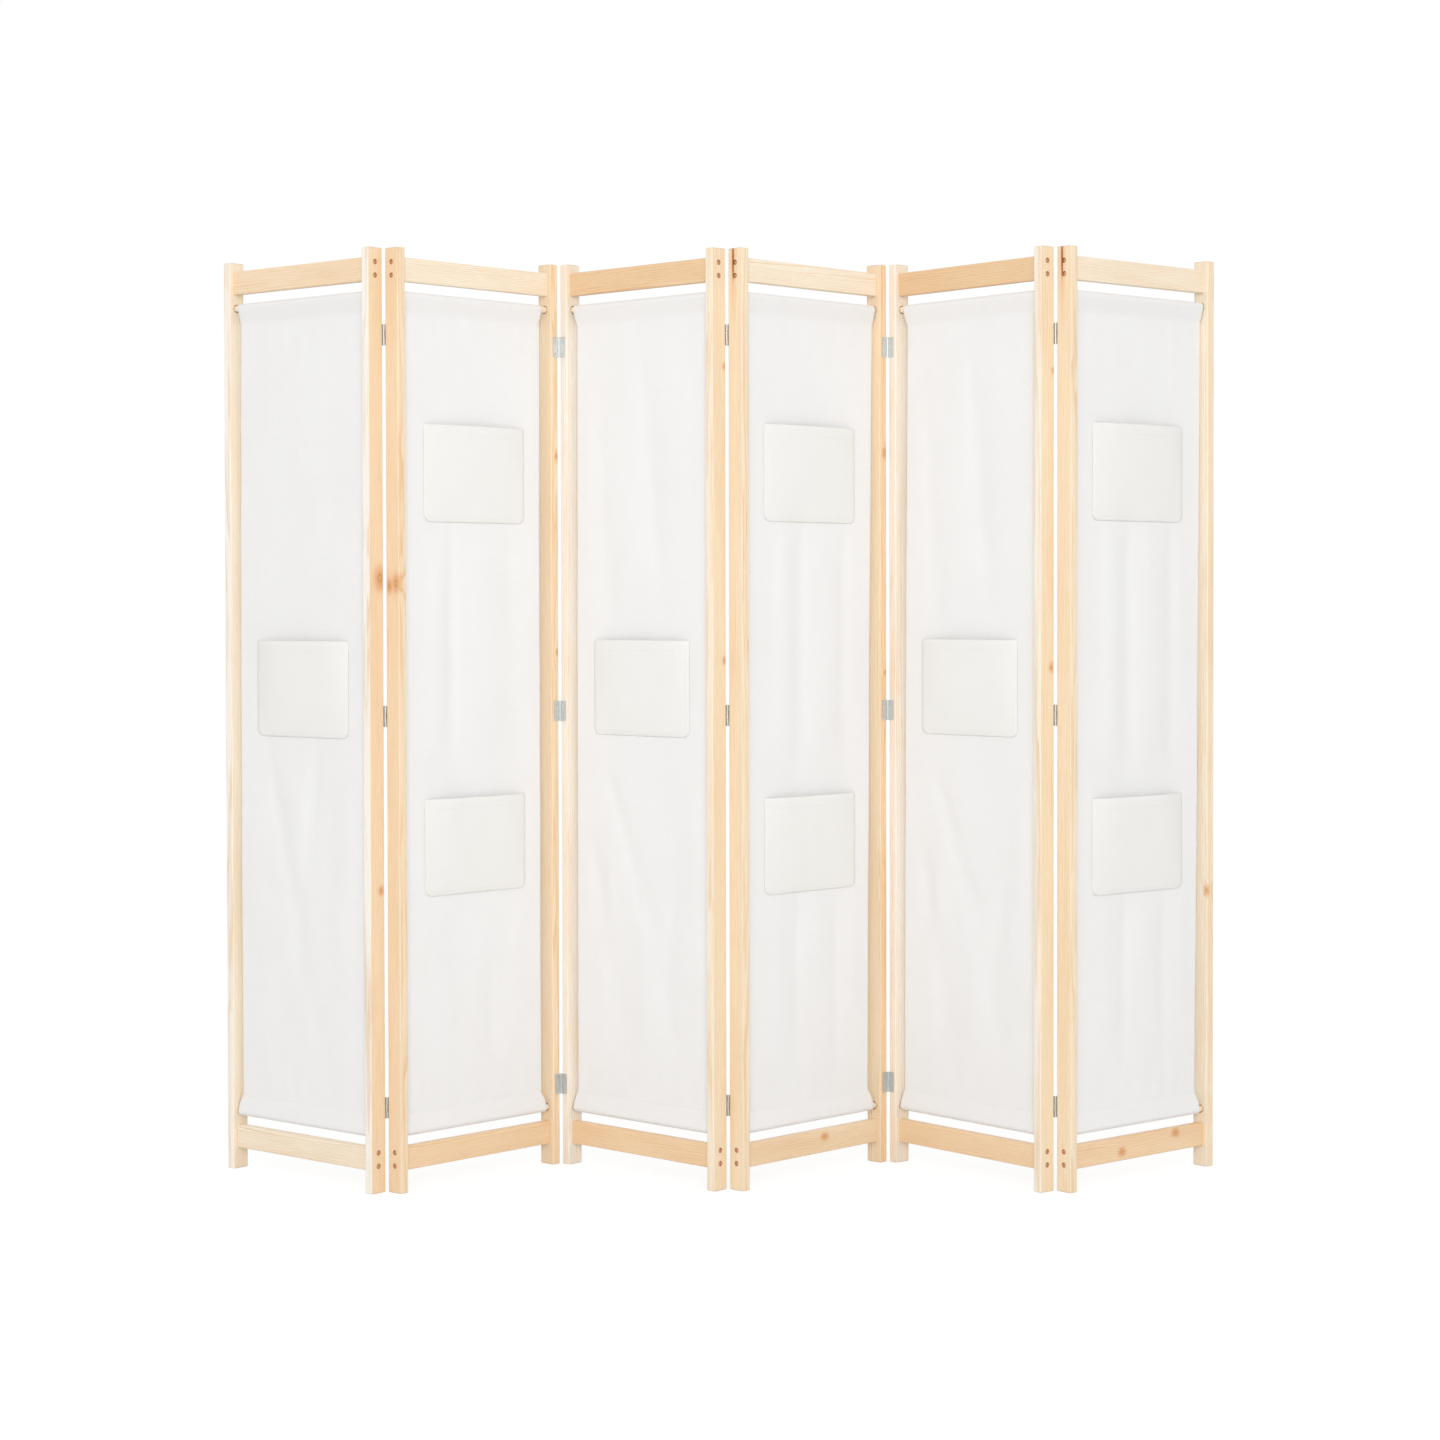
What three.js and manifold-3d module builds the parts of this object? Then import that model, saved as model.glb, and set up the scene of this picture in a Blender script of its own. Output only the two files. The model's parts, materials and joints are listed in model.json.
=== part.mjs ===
/*
 * Folding room divider. Six pine frames are hinged edge to edge and stand in
 * a zigzag on the feet of their stiles. Each frame is two stiles and two rails
 * joined by through dowels. Two round rods sit in blind sockets between the
 * stiles, and a length of canvas is slung between them by a sewn sleeve at
 * each end. Pockets are sewn to the front of the canvas.
 *
 * Units are millimetres and degrees. +X runs along the screen, the front faces
 * -Y, +Z is up, and the origin is at the middle of the screen on the floor.
 */
import * as THREE from 'three';
import { mergeVertices } from 'three/addons/utils/BufferGeometryUtils.js';
import Module from 'manifold-3d';

// ---- Driving dimensions ----------------------------------------------------

// How far each panel is turned out of the screen's long direction, leftmost first.
const PANEL_TURNS = [41, 47.5, 44, 46.5, 50.5, 41.5];
const PANEL_WIDTH = 400;
const PANEL_HEIGHT = 1700;

const STILE_WIDTH = 18;
const STILE_DEPTH = 34;
const STILE_EDGE_RADIUS = 2;

const RAIL_HEIGHT = 43;
const RAIL_THICKNESS = 16;
const RAIL_EDGE_RADIUS = 2;
const TOP_RAIL_DROP = 16; // top of the stile down to the top rail
const BOTTOM_RAIL_LIFT = 39; // floor up to the bottom rail

const DOWEL_DIAMETER = 8;
const DOWEL_SPACING = 24;
const DOWEL_RECESS = 2.5; // dowel end below the stile's outer edge
const JOINT_GAP = 0.3; // between two pieces that touch

const ROD_DIAMETER = 12;
const ROD_OFFSET = 25.5; // rail to the middle of the rod
const ROD_SEAT = 8; // length of rod inside a stile

const CLOTH = 1.5; // canvas
const SLEEVE_SIDE_GAP = 4; // sleeve to stile
const SLEEVE_DROP = 30; // middle of the rod to the sleeve's stitch line
const WAIST_INSET = 6.5; // how far each side of the canvas is drawn in between the two flares
const FLARE_HEIGHT = 70; // height over which the canvas widens towards a sleeve
const FOLD_DEPTH = 2.2;
const FOLD_LENGTH = 190; // from one fold to the next

const POCKET_WIDTH = 250;
const POCKET_HEIGHT = 176;
const POCKET_CORNER = 14;
const POCKET_GAPE = 13; // how far the mouth stands open
const POCKET_SIDE_FULLNESS = 4; // more makes the pocket stand off sooner from its side seams
const POCKET_FOOT_FULLNESS = 0.5; // less makes it stand off sooner from its foot
const POCKET_SEAM = 0.8; // how deep a pocket's edge is sewn into the canvas
const SINGLE_POCKET_RISE = 55; // half the panel's height up to the middle of a single pocket
const POCKET_PAIR_RISE = 108; // half the panel's height up to midway between a pair
const POCKET_PAIR_SPACING = 682;

const BOTTOM_HINGE_LIFT = 152; // floor up to the middle of the bottom hinge
const MIDDLE_HINGE_RISE = 9; // half the panel's height up to the middle hinge
const TOP_HINGE_DROP = 155; // top of the stile down to the top hinge
const HINGE_HEIGHT = 38;
const HINGE_REACH = 14.5; // pin to the edge of a leaf
const HINGE_LEAF = 1; // plate
const LEAF_SINK = 0.2; // how deep the bored leaf is let into its stile
const HINGE_CORNER = 2.5;
const SCREW_INSET = 7; // end of a leaf to the middle of a screw hole
const SCREW_SHANK = 3.2;
const SCREW_HEAD = 5.2;
const PIN_DIAMETER = 2;
const PIN_CLEARANCE = 0.3;
const KNUCKLE_WALL = 0.8;
const KNUCKLE_COUNT = 3;
const PIN_PROUD = 1.7; // pin in front of the stile's face
const PIN_OUT = 1.7; // pin beyond the stile's edge

// ---- Facets ------------------------------------------------------------------

const DOWEL_SIDES = 8;
const ROD_SIDES = 12;
const KNUCKLE_SIDES = 8;
const PIN_SIDES = 6;
const SCREW_SIDES = 6;
const CORNER_STEPS = 2; // steps in a rounded corner
const SLEEVE_STEPS = 6; // steps round a sleeve
const CLOTH_COLUMNS = 9;
const CLOTH_ROWS = 6; // rows between the two flares
const FLARE_ROWS = 2;
const POCKET_COLUMNS = 6;
const POCKET_ROWS = 2; // rows above the rounded corners

// ---- Derived sizes -------------------------------------------------------------

const INNER_WIDTH = PANEL_WIDTH - 2 * STILE_WIDTH;
const TOP_RAIL_FOOT = PANEL_HEIGHT - TOP_RAIL_DROP - RAIL_HEIGHT;
const TOP_ROD_LEVEL = TOP_RAIL_FOOT - ROD_OFFSET;
const BOTTOM_ROD_LEVEL = BOTTOM_RAIL_LIFT + RAIL_HEIGHT + ROD_OFFSET;
const SLEEVE_LENGTH = INNER_WIDTH - 2 * SLEEVE_SIDE_GAP;
const WAIST_WIDTH = SLEEVE_LENGTH - 2 * WAIST_INSET;
const KNUCKLE_RADIUS = PIN_DIAMETER / 2 + PIN_CLEARANCE + KNUCKLE_WALL;
const HINGE_LEVELS = {
  bottom: BOTTOM_HINGE_LIFT,
  middle: PANEL_HEIGHT / 2 + MIDDLE_HINGE_RISE,
  top: PANEL_HEIGHT - TOP_HINGE_DROP,
};
const TINY = 0.5; // how far a cutter runs past a face

// ---- Materials -----------------------------------------------------------------

const pine = new THREE.MeshStandardMaterial({ color: '#efd2ab', roughness: 0.6 });
const canvas = new THREE.MeshStandardMaterial({ color: '#f1efeb', roughness: 0.95, side: THREE.DoubleSide });
const steel = new THREE.MeshStandardMaterial({ color: '#b9bab6', roughness: 0.35, metalness: 0.9 });

// ---- Joining and cutting ---------------------------------------------------------

const wasm = await Module();
wasm.setup();

/** A closed geometry as a solid that can be joined and cut. */
function toSolid(geometry) {
  const bare = geometry.clone();
  bare.deleteAttribute('normal');
  bare.deleteAttribute('uv');
  const merged = mergeVertices(bare);
  return new wasm.Manifold(new wasm.Mesh({
    numProp: 3,
    vertProperties: new Float32Array(merged.attributes.position.array),
    triVerts: new Uint32Array(merged.index.array),
  }));
}

/** A solid as a flat-shaded geometry. */
function toGeometry(solid) {
  const { vertProperties, triVerts } = solid.getMesh();
  const geometry = new THREE.BufferGeometry();
  geometry.setAttribute('position', new THREE.BufferAttribute(vertProperties, 3));
  geometry.setIndex(new THREE.BufferAttribute(triVerts, 1));
  const flat = geometry.toNonIndexed();
  flat.computeVertexNormals();
  return flat;
}

const joined = (solids) => solids.reduce((whole, piece) => whole.add(piece));
const cut = (solid, cutters) => cutters.reduce((rest, cutter) => rest.subtract(cutter), solid);

function piece(name, solid, material) {
  const mesh = new THREE.Mesh(toGeometry(solid), material);
  mesh.name = name;
  return mesh;
}

// ---- Basic forms -------------------------------------------------------------------

/** Points along an arc, its two ends among them. */
function arc(x, y, radius, start, end, steps) {
  return Array.from({ length: steps + 1 }, (_, step) => {
    const angle = THREE.MathUtils.lerp(start, end, step / steps);
    return new THREE.Vector2(x + radius * Math.cos(angle), y + radius * Math.sin(angle));
  });
}

/** A rectangle round the origin with rounded corners. */
function roundedRectangle(width, height, radius) {
  const corners = [[1, 1], [-1, 1], [-1, -1], [1, -1]];
  return new THREE.Shape(corners.flatMap(([x, y], corner) => arc(
    x * (width / 2 - radius),
    y * (height / 2 - radius),
    radius,
    corner * Math.PI / 2,
    (corner + 1) * Math.PI / 2,
    CORNER_STEPS,
  )));
}

const extruded = (outline, depth) => new THREE.ExtrudeGeometry(outline, { depth, bevelEnabled: false });

/** A round bar along X, from x to x + length, in the middle of the panel's depth. */
function barAlongX(diameter, x, length, level, sides) {
  const bar = new THREE.CylinderGeometry(diameter / 2, diameter / 2, length, sides);
  return toSolid(bar.rotateZ(Math.PI / 2).translate(x + length / 2, 0, level));
}

/** A round bar along Z, from z to z + length, on the Z axis. */
function barAlongZ(radius, z, length, sides) {
  const bar = new THREE.CylinderGeometry(radius, radius, length, sides);
  return toSolid(bar.rotateX(Math.PI / 2).translate(0, 0, z + length / 2));
}

/**
 * A closed sheet between two grids of points. front and back give a point
 * for a column and a row, and the sheet lies between them.
 */
function sheetBetween(front, back, columns, rows) {
  const positions = [];
  const triangles = [];
  const across = columns + 1;
  for (const side of [front, back]) {
    for (let row = 0; row <= rows; row++) {
      for (let column = 0; column <= columns; column++) {
        positions.push(...side(column, row));
      }
    }
  }
  const at = (side, column, row) => (side * (rows + 1) + row) * across + column;
  const quad = (a, b, c, d) => triangles.push(a, b, c, a, c, d);
  for (let row = 0; row < rows; row++) {
    for (let column = 0; column < columns; column++) {
      const corners = [[column, row], [column + 1, row], [column + 1, row + 1], [column, row + 1]];
      quad(...corners.map(([c, r]) => at(0, c, r)));
      quad(...corners.reverse().map(([c, r]) => at(1, c, r)));
    }
    quad(at(0, 0, row), at(0, 0, row + 1), at(1, 0, row + 1), at(1, 0, row));
    quad(at(1, columns, row), at(1, columns, row + 1), at(0, columns, row + 1), at(0, columns, row));
  }
  for (let column = 0; column < columns; column++) {
    quad(at(0, column + 1, 0), at(0, column, 0), at(1, column, 0), at(1, column + 1, 0));
    quad(at(0, column, rows), at(0, column + 1, rows), at(1, column + 1, rows), at(1, column, rows));
  }
  const geometry = new THREE.BufferGeometry();
  geometry.setAttribute('position', new THREE.Float32BufferAttribute(positions, 3));
  geometry.setIndex(triangles);
  return toSolid(geometry);
}

// ---- Frame ---------------------------------------------------------------------------
// Each panel is modelled in its own frame: X from its left edge to its right
// edge, Y from the middle of its depth to the back, Z up from the floor.

const dowelLevels = (railFoot) => (
  [-1, 1].map((side) => railFoot + RAIL_HEIGHT / 2 + side * DOWEL_SPACING / 2)
);

/** An upright, with through bores for the dowels and a socket for each rod. */
function stile(isRight) {
  const outline = roundedRectangle(STILE_WIDTH, STILE_DEPTH, STILE_EDGE_RADIUS);
  const left = isRight ? PANEL_WIDTH - STILE_WIDTH : 0;
  const bar = extruded(outline, PANEL_HEIGHT).translate(left + STILE_WIDTH / 2, 0, 0);
  const bores = [BOTTOM_RAIL_LIFT, TOP_RAIL_FOOT].flatMap(dowelLevels).map((level) => (
    barAlongX(DOWEL_DIAMETER + 2 * JOINT_GAP, left - TINY, STILE_WIDTH + 2 * TINY, level, DOWEL_SIDES)
  ));
  const depth = ROD_SEAT + JOINT_GAP;
  const socketStart = isRight ? left - TINY : STILE_WIDTH - depth;
  const sockets = [BOTTOM_ROD_LEVEL, TOP_ROD_LEVEL].map((level) => (
    barAlongX(ROD_DIAMETER + 2 * JOINT_GAP, socketStart, depth + TINY, level, ROD_SIDES)
  ));
  return cut(toSolid(bar), [...bores, ...sockets]);
}

/** A cross rail, with the glued dowels that stand out of its ends. */
function rail(foot) {
  const outline = roundedRectangle(RAIL_HEIGHT, RAIL_THICKNESS, RAIL_EDGE_RADIUS);
  const length = INNER_WIDTH - 2 * JOINT_GAP;
  const board = extruded(outline, length)
    .rotateY(Math.PI / 2)
    .translate(STILE_WIDTH + JOINT_GAP, 0, foot + RAIL_HEIGHT / 2);
  const dowels = dowelLevels(foot).map((level) => (
    barAlongX(DOWEL_DIAMETER, DOWEL_RECESS, PANEL_WIDTH - 2 * DOWEL_RECESS, level, DOWEL_SIDES)
  ));
  return joined([toSolid(board), ...dowels]);
}

/** A round rod, its ends in the sockets of both stiles. */
function rod(level) {
  return barAlongX(ROD_DIAMETER, STILE_WIDTH - ROD_SEAT, INNER_WIDTH + 2 * ROD_SEAT, level, ROD_SIDES);
}

// ---- Canvas -----------------------------------------------------------------------------

/** A drop-shaped outline: an arc over the rod, closing to a narrow tail. */
function dropOutline(radius, tailHalf, tailDrop) {
  const distance = Math.hypot(tailHalf, tailDrop);
  const start = Math.acos(radius / distance) - Math.atan2(tailDrop, tailHalf);
  const tail = [new THREE.Vector2(-tailHalf, -tailDrop), new THREE.Vector2(tailHalf, -tailDrop)];
  return new THREE.Shape([...arc(0, 0, radius, start, Math.PI - start, SLEEVE_STEPS), ...tail]);
}

/** The sleeve sewn round a rod. up is 1 where the canvas hangs from the rod, -1 where it is below. */
function sleeve(level, up) {
  const bore = ROD_DIAMETER / 2 + JOINT_GAP;
  const outline = dropOutline(bore + CLOTH, CLOTH, SLEEVE_DROP);
  outline.holes.push(dropOutline(bore, CLOTH / 4, SLEEVE_DROP - 6 * CLOTH));
  const tube = extruded(outline, SLEEVE_LENGTH)
    .translate(0, 0, -SLEEVE_LENGTH / 2)
    .rotateX(Math.PI / 2)
    .rotateZ(Math.PI / 2);
  if (up < 0) tube.rotateX(Math.PI);
  return toSolid(tube.translate(PANEL_WIDTH / 2, 0, level));
}

/** How far the canvas stands back from the middle of the panel: soft upright folds. */
function foldDepth(x, z, phase) {
  const height = (z - BOTTOM_ROD_LEVEL) / (TOP_ROD_LEVEL - BOTTOM_ROD_LEVEL);
  const fullness = Math.sin(Math.PI * height) ** 0.6;
  return FOLD_DEPTH * fullness * Math.sin(2 * Math.PI * (x / FOLD_LENGTH + 0.25 * height) + phase);
}

/** Levels of the canvas rows, closer together in the two flares. */
function clothLevels() {
  const low = BOTTOM_ROD_LEVEL + SLEEVE_DROP - 2 * CLOTH;
  const high = TOP_ROD_LEVEL - SLEEVE_DROP + 2 * CLOTH;
  const stops = [low, low + FLARE_HEIGHT, high - FLARE_HEIGHT, high];
  const counts = [FLARE_ROWS, CLOTH_ROWS, FLARE_ROWS];
  const levels = [low];
  counts.forEach((count, part) => {
    for (let row = 1; row <= count; row++) {
      levels.push(THREE.MathUtils.lerp(stops[part], stops[part + 1], row / count));
    }
  });
  return levels;
}

/** Half the canvas width at a level: a waist that flares to the sleeves. */
function clothHalfWidth(z, levels) {
  const toEnd = Math.min(z - levels[0], levels[levels.length - 1] - z);
  const flare = Math.max(0, 1 - toEnd / FLARE_HEIGHT) ** 2;
  return THREE.MathUtils.lerp(WAIST_WIDTH, SLEEVE_LENGTH, flare) / 2;
}

function cloth(phase) {
  const levels = clothLevels();
  const point = (side) => (column, row) => {
    const z = levels[row];
    const x = (2 * column / CLOTH_COLUMNS - 1) * clothHalfWidth(z, levels);
    return [PANEL_WIDTH / 2 + x, foldDepth(x, z, phase) + side * CLOTH / 2, z];
  };
  return sheetBetween(point(-1), point(1), CLOTH_COLUMNS, levels.length - 1);
}

/** Where the foot of each pocket on a panel is: one pocket on the odd panels, a pair on the even ones. */
function pocketFeet(number) {
  const middle = PANEL_HEIGHT / 2 - POCKET_HEIGHT / 2;
  if (number % 2 === 0) return [middle + SINGLE_POCKET_RISE];
  return [-1, 1].map((side) => middle + POCKET_PAIR_RISE + side * POCKET_PAIR_SPACING / 2);
}

/** Half the width of a pocket at each row, and the row's height, round the two bottom corners and up. */
function pocketRows() {
  const rows = [];
  for (let step = 0; step <= CORNER_STEPS; step++) {
    const angle = Math.PI / 2 * step / CORNER_STEPS;
    rows.push({
      half: POCKET_WIDTH / 2 - POCKET_CORNER * (1 - Math.sin(angle)),
      height: POCKET_CORNER * (1 - Math.cos(angle)),
    });
  }
  for (let row = 1; row <= POCKET_ROWS; row++) {
    const height = THREE.MathUtils.lerp(POCKET_CORNER, POCKET_HEIGHT, row / POCKET_ROWS);
    rows.push({ half: POCKET_WIDTH / 2, height });
  }
  return rows;
}

/** A pocket sewn on at its sides and foot, its mouth standing a little open. */
function pocket(foot, phase) {
  const rows = pocketRows();
  const point = (thickness) => (column, row) => {
    const { half, height } = rows[row];
    const across = 2 * column / POCKET_COLUMNS - 1;
    const x = across * half;
    const sides = 1 - Math.abs(across) ** POCKET_SIDE_FULLNESS;
    const gape = POCKET_GAPE * sides * (height / POCKET_HEIGHT) ** POCKET_FOOT_FULLNESS;
    const front = foldDepth(x, foot + height, phase) - CLOTH / 2 + POCKET_SEAM;
    return [PANEL_WIDTH / 2 + x, front - gape - thickness, foot + height];
  };
  return sheetBetween(point(CLOTH), point(0), POCKET_COLUMNS, rows.length - 1);
}

/** The canvas of one panel with its two sleeves and its pockets, all sewn together. */
function fabric(number) {
  return joined([
    cloth(number),
    sleeve(TOP_ROD_LEVEL, 1),
    sleeve(BOTTOM_ROD_LEVEL, -1),
    ...pocketFeet(number).map((foot) => pocket(foot, number)),
  ]);
}

// ---- Hinges --------------------------------------------------------------------------------
// A hinge is modelled round its pin: the pin is the Z axis, the leaves lie at
// negative Y, against the wood, and side is -1 for the left leaf and 1 for the right.

const KNUCKLE_HEIGHT = (HINGE_HEIGHT - (KNUCKLE_COUNT - 1) * PIN_CLEARANCE) / KNUCKLE_COUNT;
// How a leaf lies: back is the distance from the pin to its wood side.
const ON_WOOD = { back: PIN_PROUD - JOINT_GAP, thickness: HINGE_LEAF };
const IN_WOOD = { back: PIN_PROUD + LEAF_SINK, thickness: HINGE_LEAF + LEAF_SINK };

const LEAF_INNER = KNUCKLE_RADIUS + PIN_CLEARANCE; // pin to the near edge of a leaf's plate

/** The two countersunk screw holes of a leaf, halfway across its plate. */
function screwHoles(side, { back, thickness }) {
  const slope = (SCREW_HEAD - SCREW_SHANK) / (2 * thickness);
  const face = SCREW_HEAD / 2 + slope * TINY;
  const tip = SCREW_SHANK / 2 - slope * TINY;
  const cone = new THREE.CylinderGeometry(face, tip, thickness + 2 * TINY, SCREW_SIDES)
    .translate(side * (LEAF_INNER + HINGE_REACH) / 2, thickness / 2 - back, 0);
  return [-1, 1].map((end) => (
    toSolid(cone.clone().translate(0, 0, end * (HINGE_HEIGHT / 2 - SCREW_INSET)))
  ));
}

/** A leaf's flat plate, with two rounded outer corners. */
function leafPlate(side, lie) {
  const { back, thickness } = lie;
  const top = HINGE_HEIGHT / 2;
  const cornerX = HINGE_REACH - HINGE_CORNER;
  const cornerY = top - HINGE_CORNER;
  const outline = new THREE.Shape([
    new THREE.Vector2(LEAF_INNER, top),
    new THREE.Vector2(LEAF_INNER, -top),
    ...arc(cornerX, -cornerY, HINGE_CORNER, -Math.PI / 2, 0, CORNER_STEPS),
    ...arc(cornerX, cornerY, HINGE_CORNER, 0, Math.PI / 2, CORNER_STEPS),
  ]);
  const plate = extruded(outline, thickness).rotateX(Math.PI / 2).translate(0, thickness - back, 0);
  if (side < 0) plate.rotateZ(Math.PI).translate(0, thickness - 2 * back, 0);
  return cut(toSolid(plate), screwHoles(side, lie));
}

/** The knuckles with the given numbers, each with the strip that ties it to its leaf. */
function knuckles(side, { back, thickness }, numbers) {
  return numbers.flatMap((number) => {
    const foot = number * (KNUCKLE_HEIGHT + PIN_CLEARANCE) - HINGE_HEIGHT / 2;
    const reach = KNUCKLE_RADIUS + 2 * PIN_CLEARANCE;
    const strip = new THREE.BoxGeometry(reach, HINGE_LEAF, KNUCKLE_HEIGHT)
      .translate(side * reach / 2, thickness - back - HINGE_LEAF / 2, foot + KNUCKLE_HEIGHT / 2);
    return [toSolid(strip), barAlongZ(KNUCKLE_RADIUS, foot, KNUCKLE_HEIGHT, KNUCKLE_SIDES)];
  });
}

/** Every other knuckle's number, from the first or the second up. */
const everyOther = (first) => (
  Array.from({ length: Math.ceil((KNUCKLE_COUNT - first) / 2) }, (_, step) => first + 2 * step)
);

/** The leaf with the outer knuckles, bored for the pin. It is let into its stile and is one piece with it. */
function boredLeaf(side) {
  const radius = PIN_DIAMETER / 2 + PIN_CLEARANCE;
  const bore = barAlongZ(radius, -HINGE_HEIGHT / 2 - TINY, HINGE_HEIGHT + 2 * TINY, PIN_SIDES);
  return cut(joined([leafPlate(side, IN_WOOD), ...knuckles(side, IN_WOOD, everyOther(0))]), [bore]);
}

/** The leaf with the middle knuckle, which carries the pin. It lies on the wood. */
function pinnedLeaf(side) {
  const pin = barAlongZ(PIN_DIAMETER / 2, -HINGE_HEIGHT / 2, HINGE_HEIGHT, PIN_SIDES);
  return joined([leafPlate(side, ON_WOOD), ...knuckles(side, ON_WOOD, everyOther(1)), pin]);
}

/** Where a hinge line's pin stands in its panel's frame. face is 1 for the back, -1 for the front. */
const pinPlace = (isRight, face) => new THREE.Vector2(
  isRight ? PANEL_WIDTH + PIN_OUT : -PIN_OUT,
  face * (STILE_DEPTH / 2 + PIN_PROUD),
);

/** A leaf moved to its place on a panel's left or right stile. */
function placedLeaf(leaf, isRight, face, level) {
  const place = pinPlace(isRight, face);
  const onPanel = isRight ? -1 : 1; // the way the leaf lies from its pin
  const solid = leaf(onPanel * face);
  const turned = face > 0 ? solid : solid.rotate([0, 0, 180]);
  return turned.translate([place.x, place.y, level]);
}

// ---- Panels ---------------------------------------------------------------------------------

/** The face that carries the hinge line right of a panel: the back, then the front, in turn. */
const hingeFace = (number) => (number % 2 === 0 ? 1 : -1);

/** One panel, in its own frame. Its right stile carries the bored leaves of the next hinge line. */
function panel(number) {
  const label = `panel_${number + 1}`;
  const face = hingeFace(number);
  const group = new THREE.Group();
  let rightStile = stile(true);
  if (number < PANEL_TURNS.length - 1) {
    const levels = Object.values(HINGE_LEVELS);
    rightStile = joined([rightStile, ...levels.map((level) => placedLeaf(boredLeaf, true, face, level))]);
  }
  group.add(
    piece(`${label}_stile_left`, stile(false), pine),
    piece(`${label}_stile_right`, rightStile, pine),
    piece(`${label}_rail_top`, rail(TOP_RAIL_FOOT), pine),
    piece(`${label}_rail_bottom`, rail(BOTTOM_RAIL_LIFT), pine),
    piece(`${label}_rod_top`, rod(TOP_ROD_LEVEL), pine),
    piece(`${label}_rod_bottom`, rod(BOTTOM_ROD_LEVEL), pine),
    piece(`${label}_fabric`, fabric(number), canvas),
  );
  if (number > 0) {
    for (const [where, level] of Object.entries(HINGE_LEVELS)) {
      const leaf = placedLeaf(pinnedLeaf, false, hingeFace(number - 1), level);
      group.add(piece(`hinge_${number}_${number + 1}_${where}_leaf`, leaf, steel));
    }
  }
  return group;
}

/** The six panels in a zigzag, each turned about the pin that it shares with the one before. */
function screen() {
  const whole = new THREE.Group();
  const shared = new THREE.Vector2();
  PANEL_TURNS.forEach((degrees, number) => {
    const turn = THREE.MathUtils.degToRad(number % 2 === 0 ? -degrees : degrees);
    const centre = new THREE.Vector2();
    const group = panel(number);
    if (number > 0) {
      const start = pinPlace(false, hingeFace(number - 1)).rotateAround(centre, turn);
      group.position.set(shared.x - start.x, shared.y - start.y, 0);
    }
    group.rotation.z = turn;
    const end = pinPlace(true, hingeFace(number)).rotateAround(centre, turn);
    shared.set(group.position.x + end.x, group.position.y + end.y);
    whole.add(group);
  });
  whole.updateMatrixWorld(true);
  const middle = new THREE.Box3().setFromObject(whole, true).getCenter(new THREE.Vector3());
  whole.position.set(-middle.x, -middle.y, 0);
  return whole;
}

export default screen();
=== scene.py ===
"""
Folding room divider: six pine frames in a zigzag, each with a length of
canvas slung between two round rods, and pockets sewn to the canvas.

Each panel is built in its own frame, in millimetres: X from its left edge to
its right edge, Y from the middle of its depth to the back, Z up from the
floor. panel_matrix() then puts it in its place, in metres.
"""
import json
import math
import random

import bpy
import numpy as np
from mathutils import Matrix, Vector

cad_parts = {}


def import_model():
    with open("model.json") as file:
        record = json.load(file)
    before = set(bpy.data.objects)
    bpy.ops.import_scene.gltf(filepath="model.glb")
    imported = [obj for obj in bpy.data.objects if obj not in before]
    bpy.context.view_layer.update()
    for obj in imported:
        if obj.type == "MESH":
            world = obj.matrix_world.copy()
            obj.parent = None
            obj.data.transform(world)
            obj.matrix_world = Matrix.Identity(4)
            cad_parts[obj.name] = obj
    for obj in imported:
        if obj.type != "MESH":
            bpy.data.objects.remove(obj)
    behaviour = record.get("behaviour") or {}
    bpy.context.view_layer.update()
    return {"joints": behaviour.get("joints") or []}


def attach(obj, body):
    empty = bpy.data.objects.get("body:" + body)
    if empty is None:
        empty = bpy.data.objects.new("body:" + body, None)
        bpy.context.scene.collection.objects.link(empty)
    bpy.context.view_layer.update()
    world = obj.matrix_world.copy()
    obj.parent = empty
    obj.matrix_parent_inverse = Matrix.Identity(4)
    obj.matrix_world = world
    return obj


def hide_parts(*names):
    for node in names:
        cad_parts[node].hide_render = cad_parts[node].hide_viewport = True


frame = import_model()

# ---- Sizes, in millimetres ----

MM = 0.001
PANEL_TURNS = (-41, 47.5, -44, 46.5, -50.5, 41.5)
PANEL_COUNT = len(PANEL_TURNS)
PANEL_WIDTH = 400
PANEL_HEIGHT = 1700
STILE_WIDTH = 18
STILE_DEPTH = 34
RAIL_HEIGHT = 43
RAIL_THICKNESS = 16
RAIL_CHAMFER = 0.25
EDGE_RADIUS = 2
END_CHAMFER = 0.7
RAIL_FEET = {"top": 1641, "bottom": 39}
DOWEL_DIAMETER = 8
DOWEL_SPACING = 24
DOWEL_RECESS = 2.5
DOWEL_GRIP = 4  # how far past the stile a dowel is drawn
DOWEL_CHAMFER = 0.5
BORE_DIAMETER = 8.6
BORE_MOUTH = 10
BORE_CHAMFER = 0.7
JOINT_LINE = 0.12  # between a rail and a stile
ROD_DIAMETER = 12
ROD_LEVELS = {"bottom": 107.5, "top": 1615.5}
ROD_SEAT = 8
ROD_CHAMFER = 0.6
SOCKET_DIAMETER = 12.8
SOCKET_MOUTH = 15.6
SOCKET_CHAMFER = 1.6
SOCKET_DEPTH = ROD_SEAT + 0.4
OUTSIDE = 1  # how far a cutter starts outside what it cuts

CLOTH = 0.7
LAYER = 0.9  # from the middle of one layer of cloth to the middle of the next
SLEEVE_RADIUS = 7.7
SLEEVE_DROP = 30
FLAP_OVERLAP = 7  # sleeve flap past its seam
SIDE_HEM = 10
SLEEVE_FLARE = 26  # the run over which the canvas widens to its sleeve
SLEEVE_SHADE = 0.9  # painted shade on a sleeve round its rod, from 0 to 1
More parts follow.
